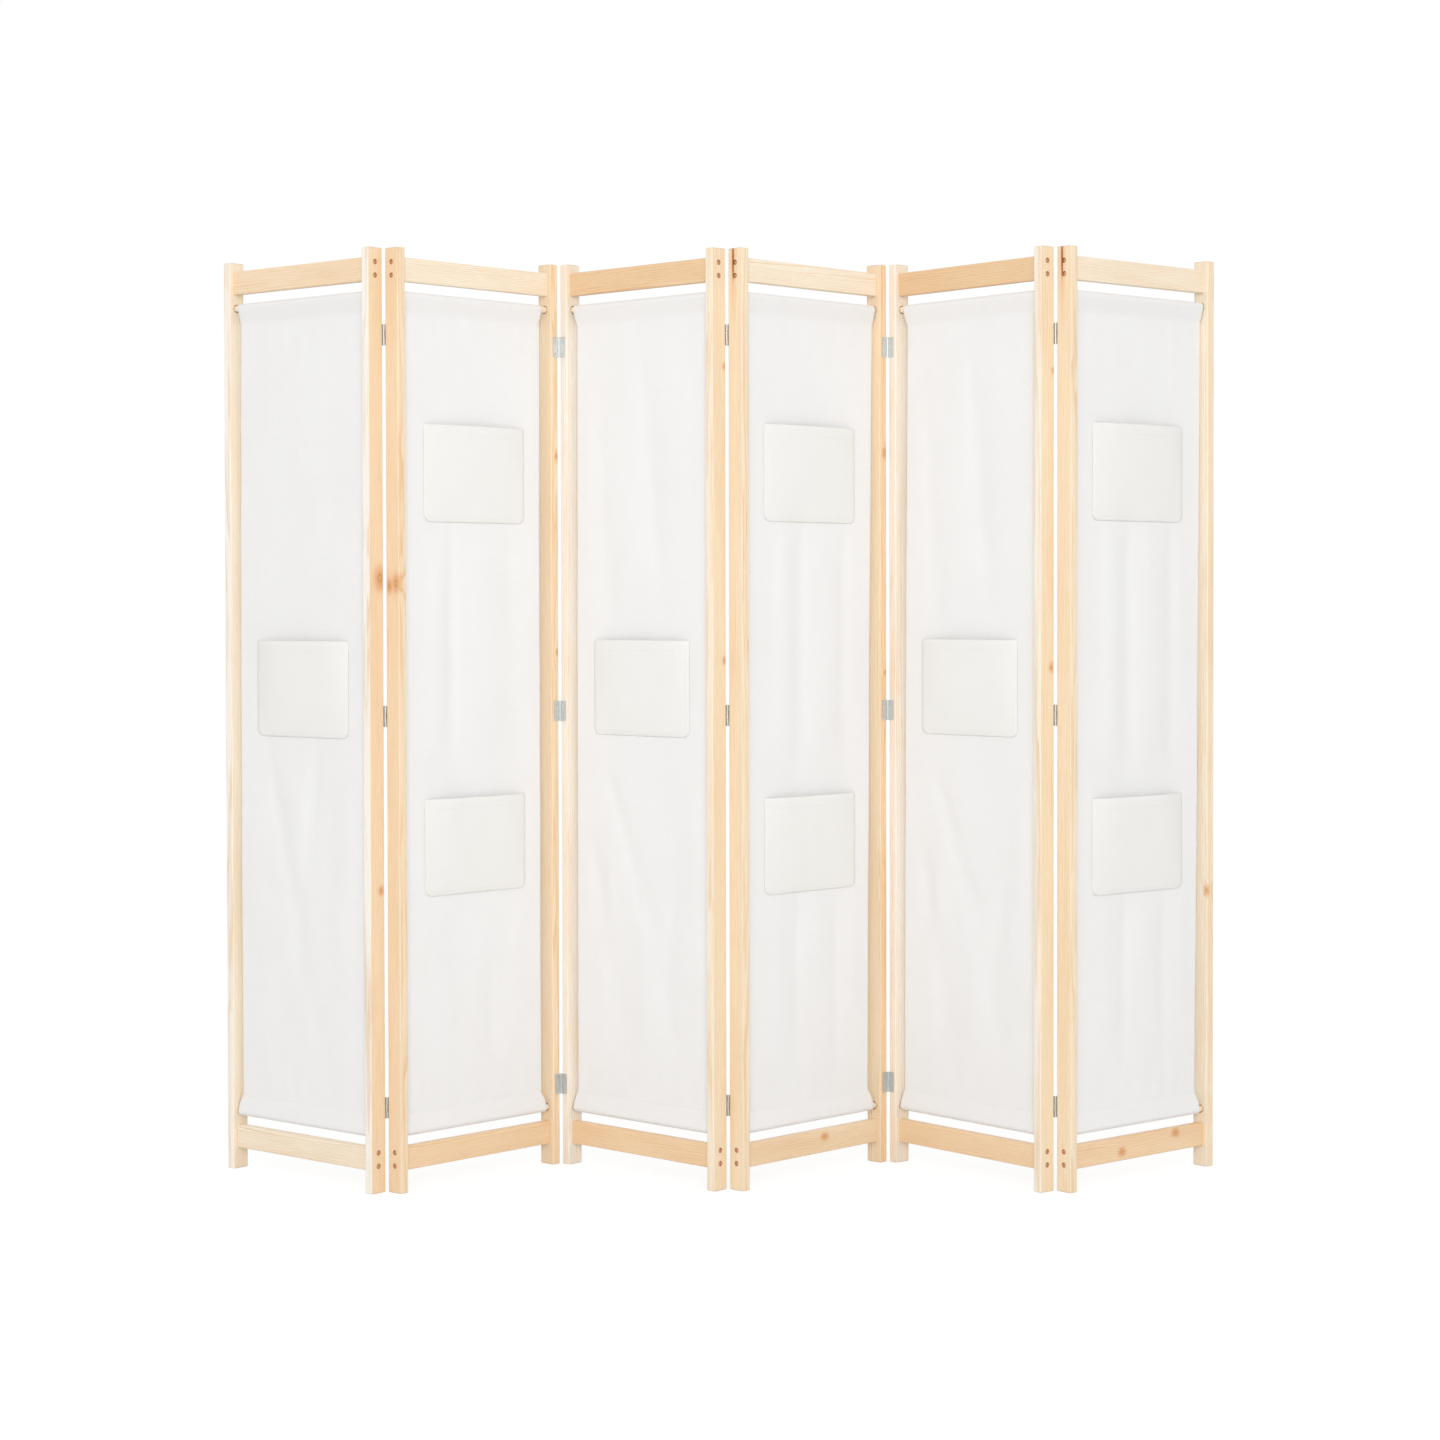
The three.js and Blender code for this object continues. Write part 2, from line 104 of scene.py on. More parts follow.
# How far a side of the canvas is from its panel's edge: at the top sleeve,
# under it, halfway up, over the bottom sleeve, and at that sleeve. The far side
# of each panel has its own. The near sides, behind their stiles, share one.
FAR_SIDES = {
    1: (30, 31, 26, 26.5, 19.5), 2: (33, 37, 33.5, 35.5, 26), 3: (26, 30, 27.5, 27, 20.5),
    4: (21, 22.5, 31.5, 37, 28), 5: (30, 34.5, 28.5, 25.5, 20.5), 6: (20.5, 21, 27.5, 35.5, 28),
}
NEAR_SIDE = (23, 27, 29, 29, 22)

POCKET_WIDTH = 250
POCKET_HALF = POCKET_WIDTH / 2
POCKET_HEIGHT = 176
POCKET_CORNER = 13
POCKET_GAPE = 12
POCKET_SIDE_FULLNESS = 4
POCKET_FOOT_FULLNESS = 0.5
POCKET_HEM = 20
POCKET_TURNING = 8
POCKET_FEET = {"middle": 817, "lower": 529, "upper": 1211}
POCKETS_ON = (("middle",), ("lower", "upper"))  # odd panels, even panels

CANVAS_COLUMNS = 46
POCKET_COLUMNS = 34
CLOSE_STEP = 3
CLOSE_ROWS = 14
WIDE_ROWS = 150
SLACK = 0.5  # depth of the canvas's slow unevenness, then of the quick one
RIPPLE = 0.18
PUCKER_DEPTH = 0.16
DRAWN_DEPTH = 0.5

STITCH_PITCH = 4
STITCH_LENGTH = 3.1
STITCH_WIDTH = 0.55
STITCH_PROUD = 0.25
STITCH_SUNK = 0.2
STITCH_START = 0.4
SEAM_INSET = 2
SEAM_SPACING = 3.5  # between the two seams of a sleeve
POCKET_SEAMS = (2.2, 7)  # in from the pocket's edge

HINGE_LEVELS = {"bottom": 152, "middle": 859, "top": 1545}
HINGE_HEIGHT = 38
HINGE_REACH = 14.5
HINGE_CORNER = 2.5
LEAF = 1
LEAF_BACK = 1.65  # pin to the leaf's wood side
PIN_RADIUS = 1
PIN_PROUD = 1.7
PIN_OUT = 1.7
KNUCKLE_BORE = 1.08
KNUCKLE_RADIUS = 2.08
KNUCKLE_GAP = 0.3
SCREW_REACH = 8.45
SCREW_SPACING = 24


def srgb(red, green, blue):
    """A colour given in 0 to 255, as linear light."""
    return tuple(
        c / 12.92 if c <= 0.04045 else ((c + 0.055) / 1.055) ** 2.4
        for c in (red / 255, green / 255, blue / 255)
    )


# ---- Where the panels stand ----


def hinge_at(number, is_right):
    """
    The hinge line at a panel's right or left side: its name, its face (1 is
    the back, -1 the front), and its pin's X and Y in the panel's frame.
    """
    left = number if is_right else number - 1
    face = 1 if left % 2 else -1
    x = PANEL_WIDTH + PIN_OUT if is_right else -PIN_OUT
    return f"hinge_{left}_{left + 1}", face, x, face * (STILE_DEPTH / 2 + PIN_PROUD)


def panel_matrix(number):
    """From a panel's frame to the screen's, in which the place of its pin is known."""
    name, _, x, y = hinge_at(number, is_right=number == 1)
    pin = next(joint["pos_m"] for joint in frame["joints"] if joint["name"] == name)
    turn = Matrix.Rotation(math.radians(PANEL_TURNS[number - 1]), 4, "Z")
    return Matrix.Translation(pin) @ turn @ Matrix.Scale(MM, 4) @ Matrix.Translation((-x, -y, 0))


# ---- Shader nodes ----


class Nodes:
    """A short way to write a tree of shader nodes."""

    def __init__(self, tree):
        self.tree = tree
        self.shader = tree.nodes.get("Principled BSDF")

    def put(self, socket, value):
        if isinstance(value, bpy.types.NodeSocket):
            self.tree.links.new(value, socket)
        else:
            socket.default_value = value

    def add(self, kind, *values, operation=None, **named):
        """A new node, its inputs given in their order or by name."""
        node = self.tree.nodes.new(f"ShaderNode{kind}")
        if operation:
            node.operation = operation
        for socket, value in zip(node.inputs, values):
            self.put(socket, value)
        return self.set(node, **named)

    def set(self, node=None, **named):
        """Sets inputs of a node, or else of the shader itself."""
        node = node or self.shader
        for name, value in named.items():
            self.put(node.inputs[name.replace("_", " ")], value)
        return node

    def attribute(self, name, output="Vector"):
        node = self.add("Attribute")
        node.attribute_name = name
        return node.outputs[output]

    def math(self, operation, *values):
        return self.add("Math", *values, operation=operation).outputs[0]

    def plus(self, first, second):
        return self.math("ADD", first, second)

    def minus(self, first, second):
        return self.math("SUBTRACT", first, second)

    def times(self, first, second):
        return self.math("MULTIPLY", first, second)

    def over(self, first, second):
        return self.math("DIVIDE", first, second)

    def vector(self, operation, *values):
        node = self.add("VectorMath", *values, operation=operation)
        return node.outputs["Value" if operation == "LENGTH" else "Vector"]

    def scaled(self, vector, scale):
        return self.vector("MULTIPLY", vector, scale)

    def noise(self, vector, scale, detail=2.0, roughness=0.5):
        node = self.add("TexNoise", Vector=vector, Scale=scale, Detail=detail, Roughness=roughness)
        return node.outputs["Fac"]

    def ramp(self, value, *stops, smooth=False):
        """A curve through (position, level) stops."""
        node = self.add("ValToRGB", value)
        if smooth:
            node.color_ramp.interpolation = "EASE"
        elements = node.color_ramp.elements
        while len(elements) < len(stops):
            elements.new(0.5)
        for element, (position, level) in zip(elements, stops):
            element.position = position
            element.color = (level, level, level, 1)
        return node.outputs["Color"]

    def mix(self, factor, first, second, blend="MIX"):
        node = self.tree.nodes.new("ShaderNodeMix")
        node.data_type = "RGBA"
        node.blend_type = blend
        rgba = [(*c, 1) if isinstance(c, tuple) else c for c in (first, second)]
        for name, value in zip(("Factor_Float", "A_Color", "B_Color"), (factor, *rgba)):
            self.put(next(s for s in node.inputs if s.identifier == name), value)
        return next(s for s in node.outputs if s.identifier == "Result_Color")

    def darken(self, factor, colour, by):
        """A colour multiplied by another one, as far as the factor says."""
        return self.mix(factor, colour, self.mix(1.0, colour, by, "MULTIPLY"))

    def bump(self, height, strength, distance):
        node = self.add("Bump", Strength=strength, Distance=distance, Height=height)
        self.set(Normal=node.outputs[0])


def new_material(name):
    material = bpy.data.materials.new(name)
    material.use_nodes = True
    return material, Nodes(material.node_tree)


# ---- Materials ----

RING_WIDTH = 3.4
RING_WANDER = 19
BEND = 11  # how far the rings give way round a knot, and how far out
BEND_REACH = 8.0
KNOT_LENGTH = 1.5
KNOT_UNEVENNESS = 3.0
KNOT_SHARE = 0.6
PITCH_LENGTH = 14
MARK_SPAN = 10.0  # that a mark's ramps run over, for a mark of size 1
LATE_SHARE = 0.68
LATE_SHARE_CUT = 0.8
LATEWOOD = srgb(236, 203, 160)
HEARTWOOD = srgb(236, 190, 142)
KNOT_BARK = srgb(186, 132, 88)
KNOT_HEART = srgb(220, 170, 122)
PITCH = srgb(164, 104, 68)
CUT_WOOD = srgb(206, 166, 128)


def pine_material(name, end_grain=False):
    """
    Pine. The grain attribute is a point's place in its log: two lengths across
    the rings from the pith, and the length along the fibres. The tint attribute
    is the colour of a board's face: the board's own tone, with painted light and
    shade that makes a stile's front and its sides differ. The knot and pitch
    attributes are where its knots and a streak of pitch are, and mark_sizes how
    large they are.
    """
    material, n = new_material(name)
    grain = n.attribute("grain")
    sizes = n.add("SeparateXYZ", n.attribute("mark_sizes")).outputs

    def clouds(along, scale, detail, roughness=0.5):
        """Noise, with its scale along the fibres as a share of that across them."""
        return n.noise(n.scaled(grain, (1, 1, along)), scale, detail, roughness)

    def away(mark, size, length):
        """The distance from a mark over its size. length is how many times its width it is long."""
        offset = n.vector("SUBTRACT", grain, n.attribute(mark))
        return n.over(n.vector("LENGTH", n.scaled(offset, (1, 1, 1 / length))), size)

    wander = n.times(n.minus(clouds(0.05, 0.035, 3), 0.5), RING_WANDER)
    radius = n.plus(n.vector("LENGTH", n.scaled(grain, (1, 1, 0))), wander)
    knots = [away(mark, size, KNOT_LENGTH) for mark, size in zip(("knot_a", "knot_b"), sizes)]
    nearest = n.math("MINIMUM", *knots)
    bend = n.times(n.math("EXPONENT", n.over(nearest, -BEND_REACH)), BEND)
    phase = n.math("FRACT", n.over(n.plus(radius, bend), RING_WIDTH))
    ring = n.ramp(phase, (0.0, 0.0), (0.5, 0.12), (0.86, 1.0), (0.93, 0.9), (1.0, 0.0))
    patchy = n.ramp(clouds(0.1, 0.05, 2), (0.3, 0.35), (0.7, 1.0))
    late = n.times(n.times(ring, patchy), LATE_SHARE_CUT if end_grain else LATE_SHARE)
    fibre = clouds(0.02, 1.5, 3, 0.6)
    broad = clouds(0.12, 0.018, 2)
    colour = n.darken(late, n.attribute("tint", "Color"), LATEWOOD)
    colour = n.darken(n.ramp(fibre, (0.45, 0.0), (0.75, 0.45)), colour, LATEWOOD)
    colour = n.darken(n.ramp(broad, (0.5, 0.0), (0.8, 0.3)), colour, LATEWOOD)

    # A knot has an uneven edge, and a halo out to twice its span.
    edge = n.plus(nearest, n.times(n.minus(n.noise(grain, 0.4), 0.5), KNOT_UNEVENNESS))
    halo = n.ramp(n.over(edge, 2 * MARK_SPAN), (0.18, 0.75), (0.75, 0.0), smooth=True)
    colour = n.darken(halo, colour, HEARTWOOD)
    inward = n.over(edge, MARK_SPAN)
    knot = n.ramp(inward, (0.30, 1.0), (0.42, 0.0), smooth=True)
    core = n.ramp(inward, (0.12, 0.0), (0.30, 1.0), smooth=True)
    colour = n.mix(n.times(knot, KNOT_SHARE), colour, n.mix(core, KNOT_HEART, KNOT_BARK))

    streak = n.over(away("pitch", sizes[2], PITCH_LENGTH), MARK_SPAN)
    colour = n.darken(n.ramp(streak, (0.0, 0.5), (1.0, 0.0), smooth=True), colour, HEARTWOOD)
    colour = n.mix(n.ramp(streak, (0.14, 0.95), (0.26, 0.0), smooth=True), colour, PITCH)
    if end_grain:
        colour = n.darken(0.85, colour, CUT_WOOD)
    n.set(Base_Color=colour, Coat_Weight=0.0 if end_grain else 0.12, Coat_Roughness=0.35)
    n.set(Roughness=n.plus(n.times(fibre, 0.2), 0.6 if end_grain else 0.4))
    n.bump(n.minus(fibre, n.times(ring, 0.25)), 0.35, 0.00012)
    return material


WEAVE_PITCH = 0.85  # from one thread of the canvas to the next


def canvas_material(name, colour, shade):
    """
    Plain-woven cotton. The cloth attribute is a point's place on the flat cloth:
    the length across, the length along, and how much painted shade it gets on a sleeve.
    """
    material, n = new_material(name)
    cloth = n.attribute("cloth")
    across, along, sleeve_shade = n.add("SeparateXYZ", cloth).outputs
    angles = [n.times(length, math.pi / WEAVE_PITCH) for length in (across, along)]
    checks = n.times(*[n.math("SINE", angle) for angle in angles])
    warp, weft = [n.math("ABSOLUTE", n.math("COSINE", angle)) for angle in angles]
    over = n.ramp(n.plus(n.times(checks, 0.5), 0.5), (0.4, 0.0), (0.6, 1.0))
    weave = n.plus(n.times(warp, over), n.times(weft, n.minus(1.0, over)))
    slubs = [n.noise(n.scaled(cloth, scale), 1.0) for scale in ((0.018, 1.1, 1), (1.1, 0.018, 1))]
    slub = n.times(n.plus(*slubs), 0.5)
    worn = n.noise(n.scaled(cloth, (0.012, 0.006, 1)), 1.0, 3)
    base = n.mix(n.ramp(slub, (0.35, 0.75), (0.5, 0.1), (0.7, 0.0)), colour, shade)
    base = n.mix(n.ramp(worn, (0.4, 0.0), (0.75, 0.5)), base, shade)
    # Darker where the threads dip and lighter on their crowns: painted shade between the threads.
    base = n.mix(n.times(weave, 0.16), n.mix(0.5, base, shade), base)
    # Painted shade on the sleeves, where the cloth wraps the rods.
    base = n.mix(n.times(sleeve_shade, 0.6), base, shade)
    n.set(Base_Color=base, Roughness=0.92, Specular_IOR_Level=0.25, Sheen_Weight=0.15, Sheen_Roughness=0.5)
    n.bump(n.plus(n.times(weave, 0.6), n.times(slub, 0.9)), 0.45, 0.00025)
    return material


def thread_material(name, colour):
    material, n = new_material(name)
    twist = n.noise(n.scaled(n.attribute("cloth"), (3, 3, 3)), 1.0)
    shade = tuple(0.86 * c for c in colour)
    n.set(Base_Color=n.mix(twist, colour, shade), Roughness=0.8, Sheen_Weight=0.1)
    n.bump(twist, 0.3, 0.0001)
    return material


def steel_material(name):
    """Zinc-plated steel, faintly brushed and clouded."""
    material, n = new_material(name)
    grain = n.attribute("grain")
    brush = n.noise(n.scaled(grain, (6, 6, 0.25)), 1.0, 3)
    cloud = n.noise(grain, 0.18)
    n.set(Base_Color=n.mix(cloud, srgb(198, 202, 201), srgb(222, 222, 218)), Metallic=1.0)
    n.set(Roughness=n.plus(n.times(brush, 0.18), 0.38))
    n.bump(brush, 0.2, 0.00008)
    return material


PINE = pine_material("pine")
PINE_CUT = pine_material("pine_cut", end_grain=True)
CANVAS = canvas_material("canvas", srgb(245, 246, 246), srgb(238, 236, 235))
# The pockets' cloth is the canvas a little darker: painted shade for the lesser light that shines through
# two layers.
POCKET_CANVAS = canvas_material("pocket_canvas", srgb(244, 243, 241), srgb(237, 236, 232))
THREAD = thread_material("thread", srgb(240, 238, 234))
STEEL = steel_material("hinge_steel")

# ---- Making objects ----


def make_object(name, points, faces, materials, smooth=False):
    mesh = bpy.data.meshes.new(name)
    mesh.from_pydata([tuple(p) for p in points], [], faces)
    mesh.validate()
    for material in materials:
        mesh.materials.append(material)
    mesh.polygons.foreach_set("use_smooth", [smooth] * len(mesh.polygons))
    obj = bpy.data.objects.new(name, mesh)
    bpy.context.scene.collection.objects.link(obj)
    return obj


def local_points(mesh):
    flat = np.zeros(3 * len(mesh.vertices), np.float32)
    mesh.vertices.foreach_get("co", flat)
    return flat.reshape(-1, 3)


def put_vectors(mesh, name, values, domain="POINT"):
    data = mesh.attributes.new(name, "FLOAT_VECTOR", domain).data
    values = np.broadcast_to(np.asarray(values, np.float32), (len(data), 3))
    data.foreach_set("vector", values.ravel())


def place(obj, number, node):
    """Puts a piece that was built in a panel's frame on that panel."""
    obj.data.transform(panel_matrix(number))
    obj.data.update()
    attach(obj, f"panel_{number}")
    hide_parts(node)


def join_parts(parts):
    """One list of points and faces from several."""
    points, faces = [], []
    for part_points, part_faces in parts:
        start = len(points)
        points.extend(part_points)
        faces.extend([tuple(start + i for i in face) for face in part_faces])
    return points, faces


def apply_modifiers(obj):
    bpy.context.view_layer.update()
    shown = obj.evaluated_get(bpy.context.evaluated_depsgraph_get())
    mesh = bpy.data.meshes.new_from_object(shown)
    old = obj.data
    obj.modifiers.clear()
    obj.data = mesh
    mesh.name = obj.name
    bpy.data.meshes.remove(old)


def discard(obj):
    mesh = obj.data
    bpy.data.objects.remove(obj)
    bpy.data.meshes.remove(mesh)


def cut_with(obj, solid):
    """Cuts a solid, given as points and faces, out of an object."""
    cutter = make_object("cutter", *solid, [])
    cut = obj.modifiers.new("cut", "BOOLEAN")
    cut.object, cut.operation, cut.solver = cutter, "DIFFERENCE", "EXACT"
    apply_modifiers(obj)
    discard(cutter)


# ---- Solid forms ----


def arc(x, y, radius, start, end, steps):
    return [
        (x + radius * math.cos(a), y + radius * math.sin(a))
        for a in (start + (end - start) * step / steps for step in range(steps + 1))
    ]


def rounded_rectangle(width, height, radius, steps=4):
    points = []
    for corner, (x, y) in enumerate(((1, 1), (-1, 1), (-1, -1), (1, -1))):
        start = corner * math.pi / 2
        centre = (x * (width / 2 - radius), y * (height / 2 - radius))
        points += arc(*centre, radius, start, start + math.pi / 2, steps)
    return points


def circle(radius, sides=28):
    angles = [2 * math.pi * k / sides for k in range(sides)]
    return [(radius * math.cos(a), radius * math.sin(a)) for a in angles]


def tube_faces(rings, sides):
    """Faces of a closed solid through rings of points, which run counter-clockwise seen from the last."""
    faces = [tuple(reversed(range(sides))), tuple((rings - 1) * sides + k for k in range(sides))]
    for ring in range(rings - 1):
        for k in range(sides):
            a, b = ring * sides + k, ring * sides + (k + 1) % sides
            faces.append((a, b, b + sides, a + sides))
    return faces


def lofted(outlines):
    """A solid through outlines of (x, y) points, given as [(z, outline), ...] upwards."""
    points = [(x, y, z) for z, outline in outlines for x, y in outline]
    return points, tube_faces(len(outlines), len(outlines[0][1]))


def along_x(solid):
    """Turns a solid that stands on Z so that it lies along X."""
    points, faces = solid
    return [(z, x, y) for x, y, z in points], faces


def along_y(solid):
    """Turns a solid that stands on Z so that it lies along Y."""
    points, faces = solid
    return [(x, z, -y) for x, y, z in points], faces


def moved(solid, x=0, y=0, z=0):
    points, faces = solid
    return [(a + x, b + y, c + z) for a, b, c in points], faces


def eased(whole, small, start, end, chamfer):
    """A solid along Z, its ends eased to a smaller outline."""
    return lofted([(start, small), (start + chamfer, whole), (end - chamfer, whole), (end, small)])


def board(width, height, radius, start, end, chamfer):
    """A board along Z, its edges rounded and its ends eased."""
    whole = rounded_rectangle(width, height, radius)
    small = rounded_rectangle(width - 2 * chamfer, height - 2 * chamfer, radius - chamfer / 2)
    return eased(whole, small, start, end, chamfer)


def bar(diameter, start, end, chamfer, sides=28):
    """A round bar along Z, its ends eased."""
    return eased(circle(diameter / 2, sides), circle(diameter / 2 - chamfer, sides), start, end, chamfer)


def round_cutter(steps):
    """A round solid along X through (x, diameter) steps, to cut a hole with."""
    return along_x(lofted(sorted((x, circle(diameter / 2)) for x, diameter in steps)))


# ---- Frames ----

IVORY, CREAM, PALE, STRAW, HONEY, ORANGE, AMBER = (
    srgb(251, 248, 240), srgb(249, 242, 229), srgb(249, 238, 218), srgb(247, 231, 204),
    srgb(246, 225, 194), srgb(245, 217, 180), srgb(237, 206, 166),
)
# The tints of each panel: the front and the side of its left stile, the same
# of its right stile, and its top and bottom rails. Each is the board's tone with
# painted light and shade: a stile's front and side tints differ partly by how
# the light falls on them.
TINTS = {
    1: ((IVORY, PALE), (IVORY, HONEY), HONEY, PALE),
    2: ((HONEY, HONEY), (HONEY, HONEY), PALE, ORANGE),
    3: ((IVORY, CREAM), (PALE, STRAW), AMBER, ORANGE),
    4: ((STRAW, STRAW), (ORANGE, HONEY), PALE, HONEY),
    5: ((IVORY, CREAM), (CREAM, STRAW), AMBER, ORANGE),
    6: ((STRAW, STRAW), (STRAW, PALE), PALE, ORANGE),
}
NOWHERE = (0, 0, -9000, 1)
# How far a board's pith may be aside of its middle, and behind or before it.
PITH_ASIDE = 26
PITH_BEHIND = (18, 60)
LOG_LENGTH = 5000
# Knots by panel and board: across, across again and along, then size. Those
# across are from the middle of the board's section.
KNOTS = {
    (1, "stile_right"): ((9, 9, 1108, 1.5), (9, 8, 545, 0.7)),
    (2, "stile_left"): ((-9, 8, 1093, 1.0), (-9, -10, 1098, 1.2)),
    (2, "stile_right"): ((6, -17, 1340, 0.7), (7, -17, 970, 0.6)),
    (3, "stile_right"): ((9, 13, 1488, 0.5), (9, 13, 958, 0.6)),
    (4, "stile_right"): ((4, -17, 1345, 0.8), (7, -17, 930, 0.5)),
    (5, "stile_right"): ((9, 15, 1478, 0.5), (9, 10, 945, 0.7)),
    (6, "stile_right"): ((-9, -14, 520, 0.8), NOWHERE),
    (4, "rail_bottom"): ((-8, 8, 232, 0.8), NOWHERE),
    (6, "rail_bottom"): ((-8, -6, 150, 0.8), (-8, 12, 301, 0.8)),
}
PITCH_STREAKS = {(4, "stile_left"): (-9, 4.5, 1680, 1.3), (6, "stile_left"): (-9, 4.5, 1680, 1.3)}


def finish_wood(obj, number, part, axis, centre, tints):
    """
    Gives a board its place in its log, the tints of its front and its sides,
    which hold its tone and painted light and shade, and its marks. axis is the
    one that its fibres run along.
    """
    seed = random.Random(f"{number} {part}")
    pith = (seed.uniform(-PITH_ASIDE, PITH_ASIDE), seed.choice((-1, 1)) * seed.uniform(*PITH_BEHIND))
    shift = seed.uniform(0, LOG_LENGTH)
    points = local_points(obj.data)
    first, second = (points[:, a] for a in range(3) if a != axis)
    log = (first - centre[0] + pith[0], second - centre[1] + pith[1], points[:, axis] + shift)
    put_vectors(obj.data, "grain", np.stack(log, 1))
    marks = dict(zip(("knot_a", "knot_b"), KNOTS.get((number, part), (NOWHERE, NOWHERE))))
    marks["pitch"] = PITCH_STREAKS.get((number, part), NOWHERE)
    for mark, (a, b, along, _) in marks.items():
        put_vectors(obj.data, mark, (a + pith[0], b + pith[1], along + shift))
    put_vectors(obj.data, "mark_sizes", [size for *_, size in marks.values()])
    # Each face gets the front or the side tint by how far it faces front: painted light and shade on the
    # board's own tone.
    front, side = (np.array(tint) for tint in tints)
    facing = [polygon.normal.y ** 2 for polygon in obj.data.polygons]
    put_vectors(obj.data, "tint", [front * share + side * (1 - share) for share in facing], "FACE")


def stile(number, is_right):
    """An upright, bored for the dowels and with a socket for each rod."""
    part = "stile_right" if is_right else "stile_left"
    middle = PANEL_WIDTH - STILE_WIDTH / 2 if is_right else STILE_WIDTH / 2
    inward = -1 if is_right else 1
    solid = moved(board(STILE_WIDTH, STILE_DEPTH, EDGE_RADIUS, 0, PANEL_HEIGHT, END_CHAMFER), x=middle)
    obj = make_object(f"panel_{number}_{part}_wood", *solid, [PINE, PINE_CUT])
    face, edge = middle + inward * STILE_WIDTH / 2, middle - inward * STILE_WIDTH / 2
    bore = round_cutter([
        (edge - inward * OUTSIDE, BORE_MOUTH),
        (edge, BORE_MOUTH),
        (edge + inward * BORE_CHAMFER, BORE_DIAMETER),
        (face + inward * OUTSIDE, BORE_DIAMETER),
    ])
    socket = round_cutter([
        (face + inward * OUTSIDE, SOCKET_MOUTH),
        (face, SOCKET_MOUTH),
        (face - inward * SOCKET_CHAMFER, SOCKET_DIAMETER),
        (face - inward * SOCKET_DEPTH, SOCKET_DIAMETER),
    ])
    cutters = [moved(bore, z=level) for foot in sorted(RAIL_FEET.values()) for level in dowel_levels(foot)]
    cutters += [moved(socket, z=level) for level in ROD_LEVELS.values()]
    cut_with(obj, join_parts(cutters))
    mark_cuts(obj.data, middle)
    finish_wood(obj, number, part, 2, (middle, 0), TINTS[number][1 if is_right else 0])
    place(obj, number, f"panel_{number}_{part}")


def mark_cuts(mesh, middle):
    """Gives the walls of a stile's holes, and its two ends, the look of cut wood."""
    for polygon in mesh.polygons:
        centre, normal = polygon.center, polygon.normal
        is_inside = (abs(centre.x - middle) < STILE_WIDTH / 2 - 0.05
                     and abs(centre.y) < STILE_DEPTH / 2 - EDGE_RADIUS - 1)
        if is_inside or abs(normal.z) > 0.9:
            polygon.material_index = 1


def dowel_levels(foot):
    return [foot + RAIL_HEIGHT / 2 + side * DOWEL_SPACING / 2 for side in (-1, 1)]


def rail(number, where, foot):
    """A cross rail, and the dowels that pin it to the stiles."""
    part = f"rail_{where}"
    node = f"panel_{number}_{part}"
    start, end = STILE_WIDTH + JOINT_LINE, PANEL_WIDTH - STILE_WIDTH - JOINT_LINE
    middle = foot + RAIL_HEIGHT / 2
    solid = along_x(board(RAIL_THICKNESS, RAIL_HEIGHT, EDGE_RADIUS, start, end, RAIL_CHAMFER))
    obj = make_object(f"{node}_wood", *moved(solid, z=middle), [PINE])
    tint = TINTS[number][2 if where == "top" else 3]
    finish_wood(obj, number, part, 0, (0, middle), (tint, tint))
    place(obj, number, node)
    length = STILE_WIDTH + DOWEL_GRIP - DOWEL_RECESS
    dowels = [
        moved(along_x(bar(DOWEL_DIAMETER, x, x + length, DOWEL_CHAMFER)), z=level)
        for level in dowel_levels(foot) for x in (DOWEL_RECESS, PANEL_WIDTH - STILE_WIDTH - DOWEL_GRIP)
    ]
    pins = make_object(f"{node}_dowels", *join_parts(dowels), [PINE_CUT])
    finish_wood(pins, number, f"{part}_dowels", 0, (0, middle), (PALE, PALE))
    place(pins, number, node)


def rod(number, where, level):
    node = f"panel_{number}_rod_{where}"
    start, end = STILE_WIDTH - ROD_SEAT, PANEL_WIDTH - STILE_WIDTH + ROD_SEAT
    solid = moved(along_x(bar(ROD_DIAMETER, start, end, ROD_CHAMFER)), z=level)
    obj = make_object(f"{node}_wood", *solid, [PINE])
    finish_wood(obj, number, f"rod_{where}", 0, (0, level), (PALE, PALE))
    place(obj, number, node)


# ---- Canvas ----
# A crease is (x, z, x, z, width, depth): a soft ridge from the first point to
# the second. It stands forward by its depth, or back if that is below 0.

